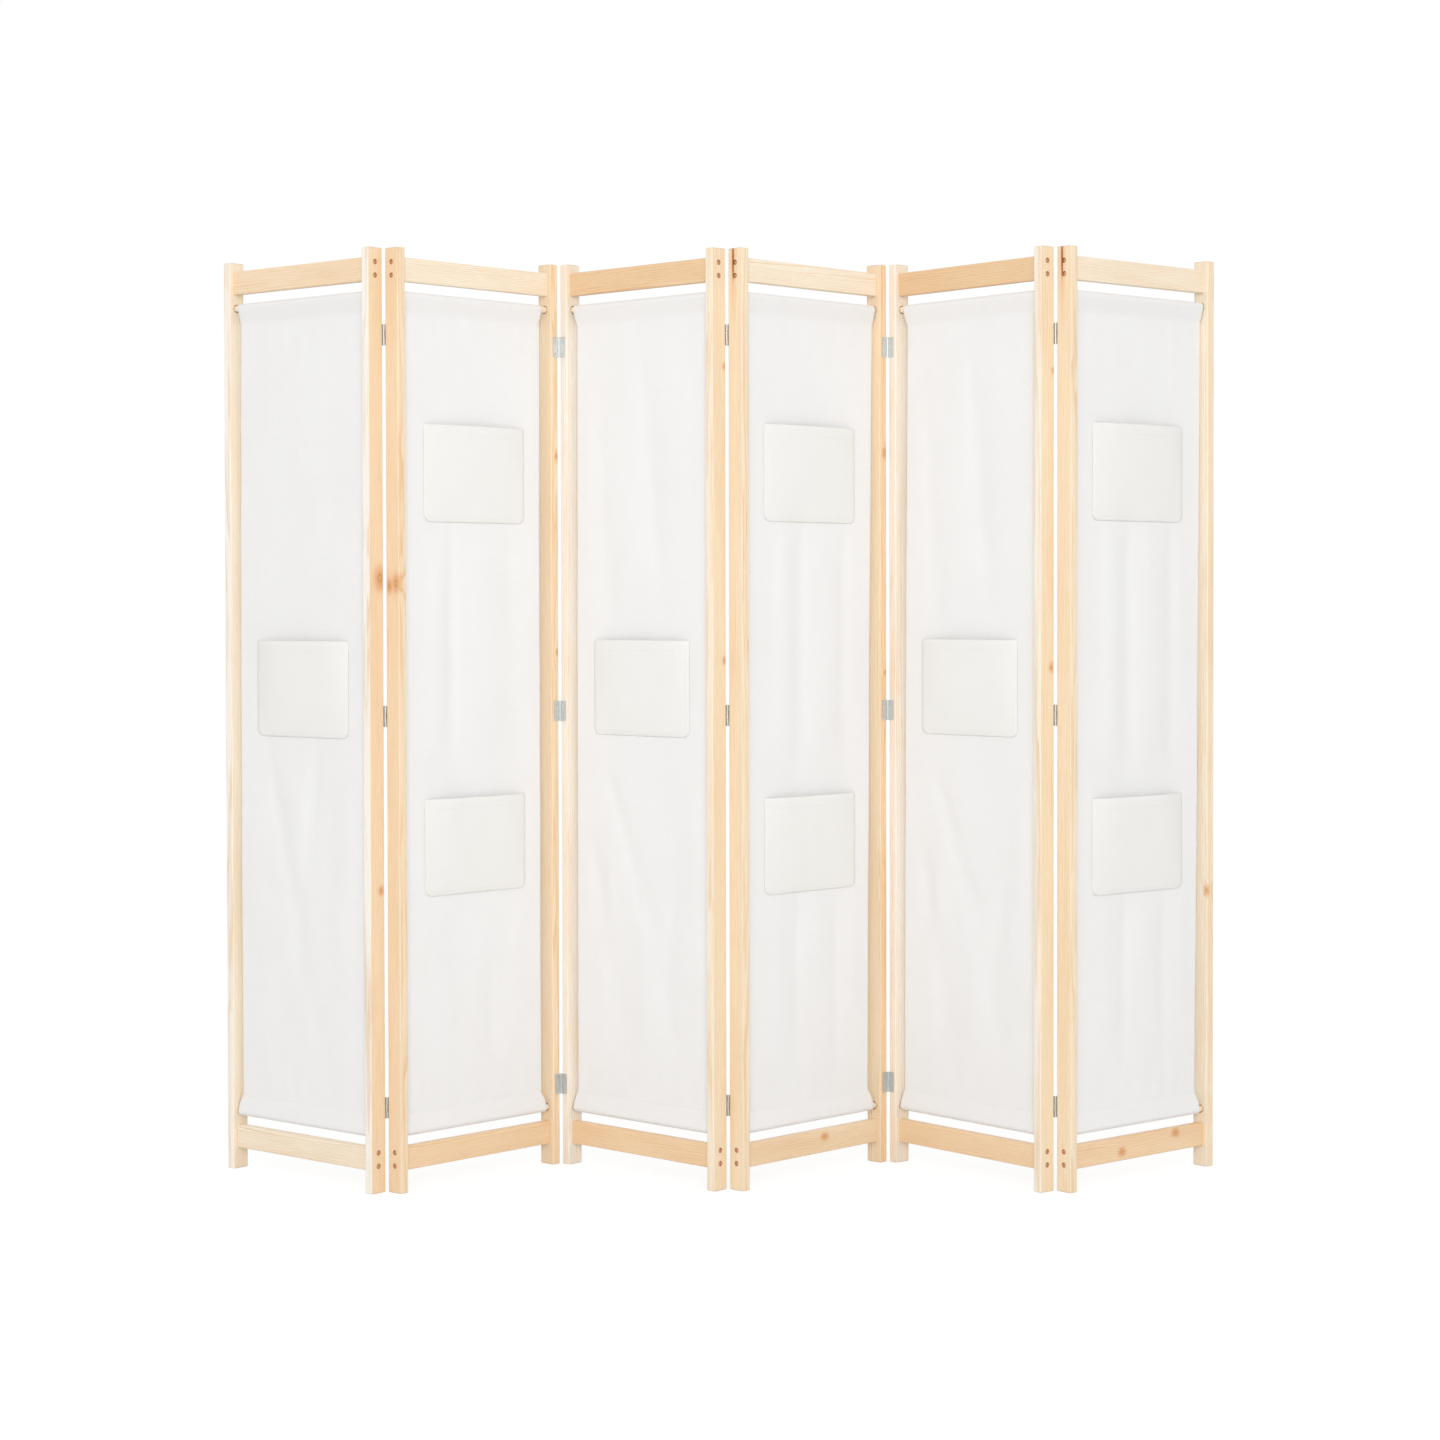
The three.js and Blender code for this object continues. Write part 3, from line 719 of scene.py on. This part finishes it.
CREASES = {
    "first": (
        (108, 760, 243, 235, 24, -3.1), (235, 770, 180, 380, 22, -2.5), (190, 700, 215, 330, 36, 2.5),
        (120, 1540, 300, 1090, 70, 1.4), (300, 1480, 250, 1060, 40, -1.1), (70, 640, 95, 220, 30, 1.7),
        (320, 700, 300, 250, 30, 2.0),
    ),
    "odd": (
        (198, 1540, 246, 1130, 20, -3.1), (160, 1480, 170, 1070, 42, 2.8), (275, 1540, 290, 1180, 34, 2.8),
        (86, 1430, 116, 1010, 22, -2.5), (115, 730, 213, 490, 20, -3.1), (78, 580, 145, 250, 20, -2.8),
        (288, 520, 258, 350, 20, -2.8), (258, 350, 288, 240, 20, -2.8), (200, 480, 215, 210, 38, 2.8),
        (120, 560, 100, 300, 26, 2.2), (330, 700, 340, 300, 24, 1.7),
    ),
    "second": (
        (220, 1210, 218, 790, 46, 3.1), (104, 1130, 100, 820, 28, 2.8), (143, 1190, 143, 790, 16, -3.1),
        (290, 1180, 300, 800, 26, -2.2), (240, 380, 240, 230, 14, -2.8), (205, 440, 200, 180, 28, 2.2),
        (120, 1560, 210, 1410, 30, 1.4), (290, 1570, 240, 1400, 30, -1.4), (110, 500, 120, 190, 26, 1.7),
        (310, 480, 300, 200, 24, 2.0),
    ),
    "even": (
        (126, 1190, 124, 800, 26, 3.1), (235, 1200, 235, 800, 36, 3.1), (175, 1190, 175, 790, 18, -3.1),
        (295, 1200, 295, 790, 18, -2.8), (165, 500, 160, 200, 16, -3.1), (272, 500, 272, 200, 16, -2.8),
        (215, 480, 216, 190, 34, 2.8), (110, 520, 105, 210, 26, 2.2), (325, 500, 320, 220, 22, 2.0),
        (110, 1570, 200, 1400, 30, 1.4), (280, 1570, 240, 1400, 30, -1.4),
    ),
}
CREASE_SETS = ("first", "second", "odd", "even", "odd", "even")
SEAM_LEVELS = (ROD_LEVELS["bottom"] + SLEEVE_DROP, ROD_LEVELS["top"] - SLEEVE_DROP)


def swell(x, z, number, wavelength, seed=0):
    """A smooth uneven surface between about -1 and 1."""
    draw = random.Random(100 * number + seed)
    total = np.zeros(np.broadcast(x, z).shape)
    for _ in range(5):
        angle, phase = draw.uniform(0, 2 * math.pi), draw.uniform(0, 2 * math.pi)
        turns = 2 * math.pi / (wavelength * draw.uniform(0.7, 1.6))
        total += np.sin(turns * (x * math.cos(angle) + z * math.sin(angle)) + phase)
    return total / 3


def canvas_front(number, x, z):
    """How far the canvas stands back from the middle of the panel's depth. x and z are arrays."""
    x, z = np.asarray(x, float), np.asarray(z, float)
    low, high = SEAM_LEVELS
    share = np.clip((z - low) / (high - low), 0, 1)
    back = SLACK * swell(x, z, number, 260) + RIPPLE * swell(x, z, number, 70, 1)
    for x0, z0, x1, z1, width, depth in CREASES[CREASE_SETS[number - 1]]:
        length = math.hypot(x1 - x0, z1 - z0)
        along = ((x - x0) * (x1 - x0) + (z - z0) * (z1 - z0)) / length ** 2
        off = ((x - x0) * (z1 - z0) - (z - z0) * (x1 - x0)) / length
        ends = np.exp(-np.maximum(0, np.abs(2 * along - 1) - 0.7) ** 2 / 0.18)
        spread = width * (0.75 + 0.5 * np.clip(along, 0, 1))
        back = back - depth * ends * np.exp(-(off / spread) ** 2)
    back = back * np.sin(math.pi * share) ** 0.5
    for level in SEAM_LEVELS:
        away = np.abs(z - level)
        # Puckers at the seam, and longer folds that start a little way from it.
        pucker = np.sin(x / 2.1 + 2.2 * np.sin(x / 23 + number)) * np.exp(-away / 16)
        drawn = np.sin(x / 8.5 + 1.7 * np.sin(x / 41 + 2 * number))
        drawn = drawn * np.exp(-away / 60) * (1 - np.exp(-away / 9))
        back = back + PUCKER_DEPTH * pucker + DRAWN_DEPTH * drawn
    return back


def side_inset(profile, z):
    """How far a side of the canvas is in from the panel's edge at a level."""
    top_sleeve, top, middle, foot, foot_sleeve = profile
    low, high = SEAM_LEVELS
    share = (z - low) / (high - low)
    inset = foot * (1 - share) * (1 - 2 * share) + 4 * middle * share * (1 - share)
    inset = inset + top * share * (2 * share - 1)
    for sleeve, away in ((top_sleeve, high - z), (foot_sleeve, z - low)):
        blend = np.clip((8 - away) / SLEEVE_FLARE, 0, 1)
        inset = inset + (sleeve - inset) * blend * blend * (3 - 2 * blend)
    return inset


def canvas_sides(number, z):
    """The left and the right side of a panel's canvas at a level."""
    left, right = FAR_SIDES[number], NEAR_SIDE
    if number % 2 == 0:
        left, right = right, left
    return side_inset(left, z), PANEL_WIDTH - side_inset(right, z)


def sleeve_path():
    """
    The way up the back of a rod, over it and down its front to the seam, as
    (y, z) from the rod's middle, with whether the point lies on the flap.
    """
    tail_front, tail_back = -LAYER / 2, LAYER / 2
    tangent = math.acos(SLEEVE_RADIUS / math.hypot(SLEEVE_DROP, tail_back))
    start = tangent - math.pi / 2 + math.atan2(tail_back, SLEEVE_DROP)
    top = arc(0, 0, SLEEVE_RADIUS, start, math.pi - start, 16)
    back = [(tail_back, -SLEEVE_DROP - FLAP_OVERLAP), (tail_back, -SLEEVE_DROP - FLAP_OVERLAP / 2)]
    back += [between((tail_back, -SLEEVE_DROP), top[0], k / 6) for k in range(6)]
    front = [between(top[-1], (tail_front, -SLEEVE_DROP), k / 6) for k in range(1, 6)]
    return [(y, z, True) for y, z in back] + [(y, z, False) for y, z in top + front]


def between(a, b, share):
    return tuple(p + (q - p) * share for p, q in zip(a, b))


def canvas_rows():
    """
    The canvas from the end of its bottom flap to the end of its top flap, as
    rows of (y, z, whether it lies on a flap). Near the seams they are closer.
    """
    low, high = SEAM_LEVELS
    rows = [(y, ROD_LEVELS["bottom"] - z, flap) for y, z, flap in sleeve_path()]
    close = [CLOSE_STEP * k for k in range(CLOSE_ROWS)]
    near = CLOSE_STEP * CLOSE_ROWS
    levels = [low + up for up in close] + list(np.linspace(low + near, high - near, WIDE_ROWS))
    levels += [high - down for down in reversed(close)]
    rows += [(-LAYER / 2, z, False) for z in levels]
    rows += [(y, ROD_LEVELS["top"] + z, flap) for y, z, flap in reversed(sleeve_path())]
    return rows


def hem_columns():
    """
    The canvas from side to side, turned back at each side. For each column:
    the side that it is measured from (-1, 1) or 0, how far in it is from that
    side, its share of the way across, and the layers behind the front.
    """
    hem = [(SIDE_HEM, 1.0), (SIDE_HEM / 2, 1.0), (0.7, 1.0), (0.1, 0.75), (0.0, 0.4), (0.25, 0.08)]
    left = [(-1, inset, 0, layer) for inset, layer in hem]
    middle = [(0, 0, (k + 0.5) / CANVAS_COLUMNS, 0.0) for k in range(CANVAS_COLUMNS)]
    right = [(1, inset, 1, layer) for inset, layer in reversed(hem)]
    return left + middle + right


def sheet_object(name, points, flat, material):
    """A sheet of cloth from a grid of points, with each point's place on the flat cloth."""
    rows, columns = points.shape[:2]
    at = np.arange(rows * columns).reshape(rows, columns)
    faces = np.stack([at[:-1, :-1], at[:-1, 1:], at[1:, 1:], at[1:, :-1]], -1).reshape(-1, 4)
    obj = make_object(name, points.reshape(-1, 3), faces.tolist(), [material], smooth=True)
    put_vectors(obj.data, "cloth", flat.reshape(-1, 3))
    return obj


def thicken(obj):
    """After place(), since a modifier works in metres."""
    solid = obj.modifiers.new("thickness", "SOLIDIFY")
    solid.thickness, solid.offset, solid.use_even_offset = CLOTH * MM, 0, False
    apply_modifiers(obj)


def canvas(number):
    """The canvas of one panel, with a sleeve round each rod and its sides hemmed."""
    rows, columns = canvas_rows(), hem_columns()
    path = np.array([(y, z) for y, z, _ in rows])
    is_flap = np.array([flap for _, _, flap in rows])
    step = np.gradient(path, axis=0)
    step /= np.linalg.norm(step, axis=1)[:, None]
    inward = np.stack([step[:, 1], -step[:, 0]], 1)
    run = np.concatenate([[0], np.cumsum(np.linalg.norm(np.diff(path, axis=0), axis=1))])
    points = np.zeros((len(rows), len(columns), 3))
    flat = np.zeros_like(points)
    low, high = SEAM_LEVELS
    left, right = canvas_sides(number, path[:, 1])
    sleeved = np.clip(np.maximum(low - path[:, 1], path[:, 1] - high) / 3, 0, 1)
    # A flap lies one layer behind the canvas near its seam, and two on its hems.
    from_seam = np.minimum(np.abs(path[:, 1] - low), np.abs(path[:, 1] - high))
    lift = np.where(is_flap, LAYER, 0) * np.clip((2 * FLAP_OVERLAP - from_seam) / 12, 0, 1)
    for column, (side, inset, share, layer) in enumerate(columns):
        edge = (left, left, right)[side + 1]
        x = edge - side * inset + (right - left) * (share if side == 0 else 0)
        on_hem = np.clip(1 - np.minimum(x - left, right - x) / (SIDE_HEM + 4), 0, 1) ** 0.5
        depth = canvas_front(number, x, np.clip(path[:, 1], low, high)) * (1 - sleeved)
        points[:, column, 0] = x
        points[:, column, 1] = path[:, 0] + inward[:, 0] * layer * LAYER + depth + lift * (1 + on_hem)
        points[:, column, 2] = path[:, 1] + inward[:, 1] * layer * LAYER
        flat[:, column, 0] = x + side * 2 * inset * (layer == 1.0)
        flat[:, column, 1] = run
    # The third cloth value is the painted shade on the sleeves.
    flat[:, :, 2] = (SLEEVE_SHADE * sleeved)[:, None]
    obj = sheet_object(f"panel_{number}_canvas", points, flat, CANVAS)
    place(obj, number, f"panel_{number}_fabric")
    thicken(obj)


# ---- Pockets ----


def pocket_front(number, foot, across, up):
    """
    How far back the middle of a pocket's cloth is, from its share across
    (-1 to 1) and its height over its foot in mm, both arrays.
    """
    sides = 1 - np.abs(across) ** POCKET_SIDE_FULLNESS
    rise = np.clip(up / POCKET_HEIGHT, 0, 1) ** POCKET_FOOT_FULLNESS
    x = PANEL_WIDTH / 2 + across * POCKET_HALF
    behind = canvas_front(number, x, foot + up) - LAYER / 2
    uneven = 0.5 * swell(x, up, number, 120, int(foot)) * sides * rise
    return behind - 2 * LAYER - POCKET_GAPE * sides * rise + uneven


def pocket_outline():
    """Rows of a pocket: (half its width, height over its foot), round the two bottom corners and up."""
    corner = [
        (POCKET_HALF - POCKET_CORNER * (1 - math.sin(a)), POCKET_CORNER * (1 - math.cos(a)))
        for a in (math.pi / 2 * k / 8 for k in range(9))
    ]
    heights = np.linspace(POCKET_CORNER, POCKET_HEIGHT, 22)[1:]
    return corner + [(POCKET_HALF, float(height)) for height in heights]


def pocket(number, where):
    """A pocket, its edges turned under where it is sewn on and a hem turned in at its mouth."""
    foot = POCKET_FEET[where]
    outline = pocket_outline()
    # Columns of (share of the half width, mm in from the side, layers behind the front).
    turning = [(POCKET_TURNING, 1.0), (0.5, 1.0), (0.0, 0.5), (0.4, 0.0)]
    columns = [(-1, inset, layer) for inset, layer in turning]
    columns += [(-1 + 2 * k / POCKET_COLUMNS, 0, 0.0) for k in range(1, POCKET_COLUMNS)]
    columns += [(1, inset, layer) for inset, layer in reversed(turning)]
    # Rows of (half width, height, layers behind the front): the turning at the foot, the face, the hem.
    rows = [(outline[3][0], POCKET_TURNING, 1.0), (outline[0][0], 0.5, 1.0), (outline[0][0], 0.0, 0.5)]
    rows += [(half, height + 0.4 * max(0, 1 - height / POCKET_CORNER), 0.0) for half, height in outline]
    hem = [(POCKET_HALF, POCKET_HEIGHT + 0.45, 0.5)]
    hem += [(POCKET_HALF, POCKET_HEIGHT - POCKET_HEM * k / 4, 1.0) for k in range(5)]
    rows += hem
    points = np.zeros((len(rows), len(columns), 3))
    flat = np.zeros_like(points)
    for r, (half, up, behind) in enumerate(rows):
        for c, (share, inset, layer) in enumerate(columns):
            x = share * (half - inset)
            spot = np.array(x / POCKET_HALF), np.array(min(up, POCKET_HEIGHT))
            front = pocket_front(number, foot, *spot)
            # Where both the row and the column are turned, the layers lie closer.
            back = (behind + layer - 0.6 * behind * layer) * LAYER
            points[r, c] = (PANEL_WIDTH / 2 + x, front + back, foot + up)
            run = up if r < len(rows) - len(hem) else 2 * POCKET_HEIGHT - up
            flat[r, c] = (x + 2 * share * (inset if layer else 0), run + foot, 0)
    obj = sheet_object(f"panel_{number}_{where}_pocket", points, flat, POCKET_CANVAS)
    place(obj, number, f"panel_{number}_fabric")
    thicken(obj)


# ---- Stitching ----

STITCH_FACES = [(0, 2, 4), (2, 1, 4), (1, 3, 4), (3, 0, 4), (2, 0, 5), (1, 2, 5), (3, 1, 5), (0, 3, 5)]


def stitch_line(ends, surface, outward):
    """
    Stitches along a run of (x, z) points on a surface, which gives y. outward
    is -1 on a front, 1 on a back.
    """
    run = np.array(ends, float)
    lengths = np.concatenate([[0], np.cumsum(np.linalg.norm(np.diff(run, axis=0), axis=1))])
    out = Vector((0, outward, 0))
    parts = []
    for k in range(int(lengths[-1] / STITCH_PITCH)):
        start = k * STITCH_PITCH + STITCH_START
        tips = [[np.interp(s, lengths, run[:, a]) for a in (0, 1)] for s in (start, start + STITCH_LENGTH)]
        depths = surface(np.array([tip[0] for tip in tips]), np.array([tip[1] for tip in tips]))
        a, b = (Vector((x, depth, z)) for (x, z), depth in zip(tips, depths))
        side = (b - a).normalized().cross(out).normalized() * STITCH_WIDTH / 2
        middle = (a + b) / 2
        points = [a, b, middle - side, middle + side]
        points += [middle + out * STITCH_PROUD, middle - out * STITCH_SUNK]
        parts.append((points, STITCH_FACES))
    return parts


def stitching(number):
    """The seams of one panel: its side hems, its sleeves and its pockets."""
    low, high = SEAM_LEVELS
    front = -LAYER / 2 - CLOTH / 2

    def canvas_face(x, z):
        return canvas_front(number, x, z) + front

    def hem_back(x, z):
        return canvas_front(number, x, z) + front + LAYER + CLOTH + 0.05

    def flap_back(x, z):
        return canvas_front(number, x, z) + front + 2 * LAYER + CLOTH

    parts = []
    for side, inward in ((0, 1), (1, -1)):
        edge = [(canvas_sides(number, z)[side] + inward * (SIDE_HEM - SEAM_INSET), z)
                for z in np.linspace(low + 4, high - 4, 60)]
        parts += stitch_line(edge, canvas_face, -1)
        parts += stitch_line(edge, hem_back, 1)
    for level, up in zip(SEAM_LEVELS, (-1, 1)):
        left, right = canvas_sides(number, level)
        for second in (0, SEAM_SPACING):
            seam = [(x, level - up * second) for x in (left + SEAM_INSET, right - SEAM_INSET)]
            parts += stitch_line(seam, canvas_face, -1)
        parts += stitch_line(seam, flap_back, 1)
    for where in POCKETS_ON[(number - 1) % 2]:
        parts += pocket_stitching(number, POCKET_FEET[where])
    obj = make_object(f"panel_{number}_stitching", *join_parts(parts), [THREAD], smooth=True)
    put_vectors(obj.data, "cloth", local_points(obj.data))
    place(obj, number, f"panel_{number}_fabric")


def pocket_stitching(number, foot):
    """Two rows down the sides and round the foot of a pocket, and one along the hem of its mouth."""
    def face(x, z):
        return pocket_front(number, foot, (x - PANEL_WIDTH / 2) / POCKET_HALF, z - foot) - CLOTH / 2

    parts = []
    for inset in POCKET_SEAMS:
        right = arc(POCKET_HALF - POCKET_CORNER, POCKET_CORNER, POCKET_CORNER - inset, -math.pi / 2, 0, 8)
        right += [(POCKET_HALF - inset, POCKET_HEIGHT - 1)]
        left = [(-x, height) for x, height in reversed(right)]
        run = [(PANEL_WIDTH / 2 + x, foot + height) for x, height in left + right]
        parts += stitch_line(run, face, -1)
    level = foot + POCKET_HEIGHT - POCKET_HEM + SEAM_INSET
    hem = [(PANEL_WIDTH / 2 + share * (POCKET_HALF - SEAM_INSET), level) for share in np.linspace(-1, 1, 30)]
    return parts + stitch_line(hem, face, -1)


# ---- Hinges ----
# A hinge is built round its pin, which is the Z axis. The leaves lie at
# negative Y against the wood, and side is -1 for the left leaf, 1 for the right.

KNUCKLE_HEIGHT = (HINGE_HEIGHT - 2 * KNUCKLE_GAP) / 3
LEAF_FACE = LEAF_BACK - LEAF
ROLL_ANGLES = (-18, 232)  # of a knuckle round the pin, in degrees
ROLL_ROOT = 0.6  # from a knuckle to the flat of its leaf
PLATE_GAP = 0.25  # from a knuckle to the leaf's plate
PIN_END = 0.4  # past the leaves
PIN_CHAMFER = 0.25
SINK_RADII = (1.7, 2.6)  # of a screw's hole, at the wood and at the face
# A screw's head as (depth, radius), and the cross in it as (width, height).
SCREW_PROFILE = ((-1.3, 1.1), (-0.28, 2.5), (-0.12, 2.5), (0.05, 1.6), (0.1, 0.6))
CROSS_ARMS = ((0.55, 2.7), (2.7, 0.55))


def screw_spots(side):
    return [(side * SCREW_REACH, z) for z in (-SCREW_SPACING / 2, SCREW_SPACING / 2)]


def taken(obj):
    """The points and faces of an object, which is then removed."""
    solid = [tuple(v.co) for v in obj.data.vertices], [tuple(p.vertices) for p in obj.data.polygons]
    discard(obj)
    return solid


def leaf_plate(side):
    """The flat of a leaf, with two countersunk holes."""
    inner, top = KNUCKLE_RADIUS + PLATE_GAP, HINGE_HEIGHT / 2
    x, z = HINGE_REACH - HINGE_CORNER, top - HINGE_CORNER
    outline = [(inner, top), (inner, -top)]
    outline += arc(x, -z, HINGE_CORNER, -math.pi / 2, 0, 8) + arc(x, z, HINGE_CORNER, 0, math.pi / 2, 8)
    points, faces = lofted([(LEAF_FACE, outline), (LEAF_BACK, outline)])
    points = [(side * x, -y, z) for x, z, y in points]
    faces = faces if side > 0 else [tuple(reversed(face)) for face in faces]
    obj = make_object("leaf", points, faces, [STEEL])
    deep, wide = (circle(radius, 20) for radius in SINK_RADII)
    sink = along_y(lofted([(-0.1, deep), (LEAF, wide), (LEAF + OUTSIDE, wide)]))
    cut_with(obj, join_parts([moved(sink, x, -LEAF_BACK, z) for x, z in screw_spots(side)]))
    return taken(obj)


def knuckle_outline(side):
    """The end of a knuckle: the leaf's plate, rolled round the pin and closed at the wood."""
    start, end = (math.radians(angle) for angle in ROLL_ANGLES)
    outer = arc(0, 0, KNUCKLE_RADIUS, start, end, 30)
    inner = arc(0, 0, KNUCKLE_BORE, end, start, 30)
    root = KNUCKLE_RADIUS + ROLL_ROOT
    ring = [(root, -LEAF_BACK), (root, -LEAF_FACE), *outer, *inner, (KNUCKLE_BORE, -LEAF_BACK)]
    return [(side * x, y) for x, y in ring[::side]]


def screw_head():
    """A countersunk head with a cross recess, round the Y axis, its face at 0."""
    head = along_y(lofted([(depth, circle(radius, 24)) for depth, radius in SCREW_PROFILE]))
    obj = make_object("screw", *head, [STEEL])
    for width, height in CROSS_ARMS:
        x, y = width / 2, height / 2
        outline = [(x, y), (-x, y), (-x, -y), (x, -y)]
        deep = [(0.5 * x, 0.5 * y) for x, y in outline]
        cut_with(obj, along_y(lofted([(-0.8, deep), (0.4, outline)])))
    return taken(obj)


def leaf_solids():
    """A leaf for each side, by (side, whether it is fixed). The fixed one has the outer knuckles."""
    step = KNUCKLE_HEIGHT + KNUCKLE_GAP
    reach = HINGE_HEIGHT / 2 + PIN_END
    pin = bar(2 * PIN_RADIUS, -reach, reach, PIN_CHAMFER, 20)
    solids = {}
    for side in (-1, 1):
        plate, outline = leaf_plate(side), knuckle_outline(side)
        feet = [k * step - HINGE_HEIGHT / 2 for k in range(3)]
        low, middle, top = (lofted([(foot, outline), (foot + KNUCKLE_HEIGHT, outline)]) for foot in feet)
        solids[side, True] = join_parts([plate, low, top])
        solids[side, False] = join_parts([plate, middle, pin])
    return solids


def hinge_leaf(number, is_right, where, leaves, screw):
    """The fixed leaf, on a panel's right stile, or the moving one, on its left stile."""
    hinge, face, pin_x, pin_y = hinge_at(number, is_right)
    side = (-1 if is_right else 1) * face
    node = f"panel_{number}_stile_right" if is_right else f"{hinge}_{where}_leaf"
    name = f"{hinge}_{where}_{'fixed' if is_right else 'moving'}"
    screws = join_parts([moved(screw, x, -LEAF_FACE, z) for x, z in screw_spots(side)])
    for piece, (points, faces) in (("leaf", leaves[side, is_right]), ("screws", screws)):
        points = [(pin_x + face * x, pin_y + face * y, z + HINGE_LEVELS[where]) for x, y, z in points]
        obj = make_object(f"{name}_{piece}", points, faces, [STEEL])
        put_vectors(obj.data, "grain", local_points(obj.data))
        place(obj, number, node)


def hinges():
    leaves, screw = leaf_solids(), screw_head()
    for number in range(1, PANEL_COUNT + 1):
        for where in HINGE_LEVELS:
            if number < PANEL_COUNT:
                hinge_leaf(number, True, where, leaves, screw)
            if number > 1:
                hinge_leaf(number, False, where, leaves, screw)


# ---- The whole screen ----

for panel in range(1, PANEL_COUNT + 1):
    for is_right_stile in (False, True):
        stile(panel, is_right_stile)
    for which, rail_foot in RAIL_FEET.items():
        rail(panel, which, rail_foot)
    for which, rod_level in ROD_LEVELS.items():
        rod(panel, which, rod_level)
    canvas(panel)
    for which in POCKETS_ON[(panel - 1) % 2]:
        pocket(panel, which)
    stitching(panel)
hinges()

# ---- Studio ----

FLOOR_REACH = 30
FLOOR_DROP = 0.0005
FLOOR_COLOUR = (0.8, 0.8, 0.8)
FLOOR_GLOW = 1.18
FLOOR_GLOW_SHARE = 0.68  # the rest is the floor's own look, which keeps the shadow
WORLD_LEVEL = 0.78
KEY_PLACE = (0.05, -8, 3.4)
KEY_TARGET = (0, 0, 0.85)
KEY_SIZE = 4.6
KEY_POWER = 262


def floor():
    """A plain white floor that keeps a faint shadow of the screen."""
    material, n = new_material("floor")
    n.tree.nodes.clear()
    to_camera = n.add("LightPath").outputs["Is Camera Ray"]
    diffuse = n.add("BsdfDiffuse", Color=(*FLOOR_COLOUR, 1)).outputs[0]
    glow = n.add("Emission", Strength=FLOOR_GLOW).outputs[0]
    blend = n.add("MixShader", n.times(to_camera, FLOOR_GLOW_SHARE), diffuse, glow)
    n.add("OutputMaterial", blend.outputs[0])
    reach = FLOOR_REACH
    corners = [(-reach, -reach, 0), (reach, -reach, 0), (reach, reach, 0), (-reach, reach, 0)]
    obj = make_object("floor", corners, [(0, 1, 2, 3)], [material])
    obj.location.z = -FLOOR_DROP


def world():
    """White all round, and brightest to the camera and in reflections."""
    backdrop = bpy.data.worlds.new("studio")
    bpy.context.scene.world = backdrop
    backdrop.use_nodes = True
    n = Nodes(backdrop.node_tree)
    rays = n.add("LightPath").outputs
    seen = rays["Is Camera Ray"]
    for kind in ("Is Glossy Ray", "Is Transmission Ray"):
        seen = n.math("MAXIMUM", seen, rays[kind])
    strength = n.add("MapRange", seen, To_Min=WORLD_LEVEL, To_Max=1).outputs[0]
    background = n.tree.nodes["Background"].inputs
    n.put(background["Color"], (1, 1, 1, 1))
    n.put(background["Strength"], strength)


def lamp():
    """One large soft light, high in front."""
    data = bpy.data.lights.new("key", "AREA")
    data.shape, data.size, data.energy = "DISK", KEY_SIZE, KEY_POWER
    obj = bpy.data.objects.new("key", data)
    bpy.context.scene.collection.objects.link(obj)
    obj.location = KEY_PLACE
    obj.rotation_euler = (Vector(KEY_TARGET) - Vector(KEY_PLACE)).to_track_quat("-Z", "Y").to_euler()


# The photograph's view: the focal length in pixels of its 1440 x 1440 frame,
# how far the lens's middle lies above the frame's, and the tilts in degrees.
IMAGE_SIDE = 1440
FOCAL_PIXELS = 2988.24
VIEW_RISE_PIXELS = 55.67
SENSOR = 36
CAMERA_PLACE = (0.00067, -5.519, 1.0563)
LOOKS_DOWN = 1.115
LEANS = 0.109


def camera():
    data = bpy.data.cameras.new("camera")
    data.sensor_width = SENSOR
    data.lens = FOCAL_PIXELS / IMAGE_SIDE * SENSOR
    data.shift_y = -VIEW_RISE_PIXELS / IMAGE_SIDE
    obj = bpy.data.objects.new("camera", data)
    bpy.context.scene.collection.objects.link(obj)
    tilt = Matrix.Rotation(math.radians(90 - LOOKS_DOWN), 4, "X")
    lean = Matrix.Rotation(math.radians(-LEANS), 4, "Z")
    obj.matrix_world = Matrix.Translation(CAMERA_PLACE) @ tilt @ lean
    bpy.context.scene.camera = obj


floor()
world()
lamp()
camera()
bpy.context.scene.view_settings.view_transform = "Standard"
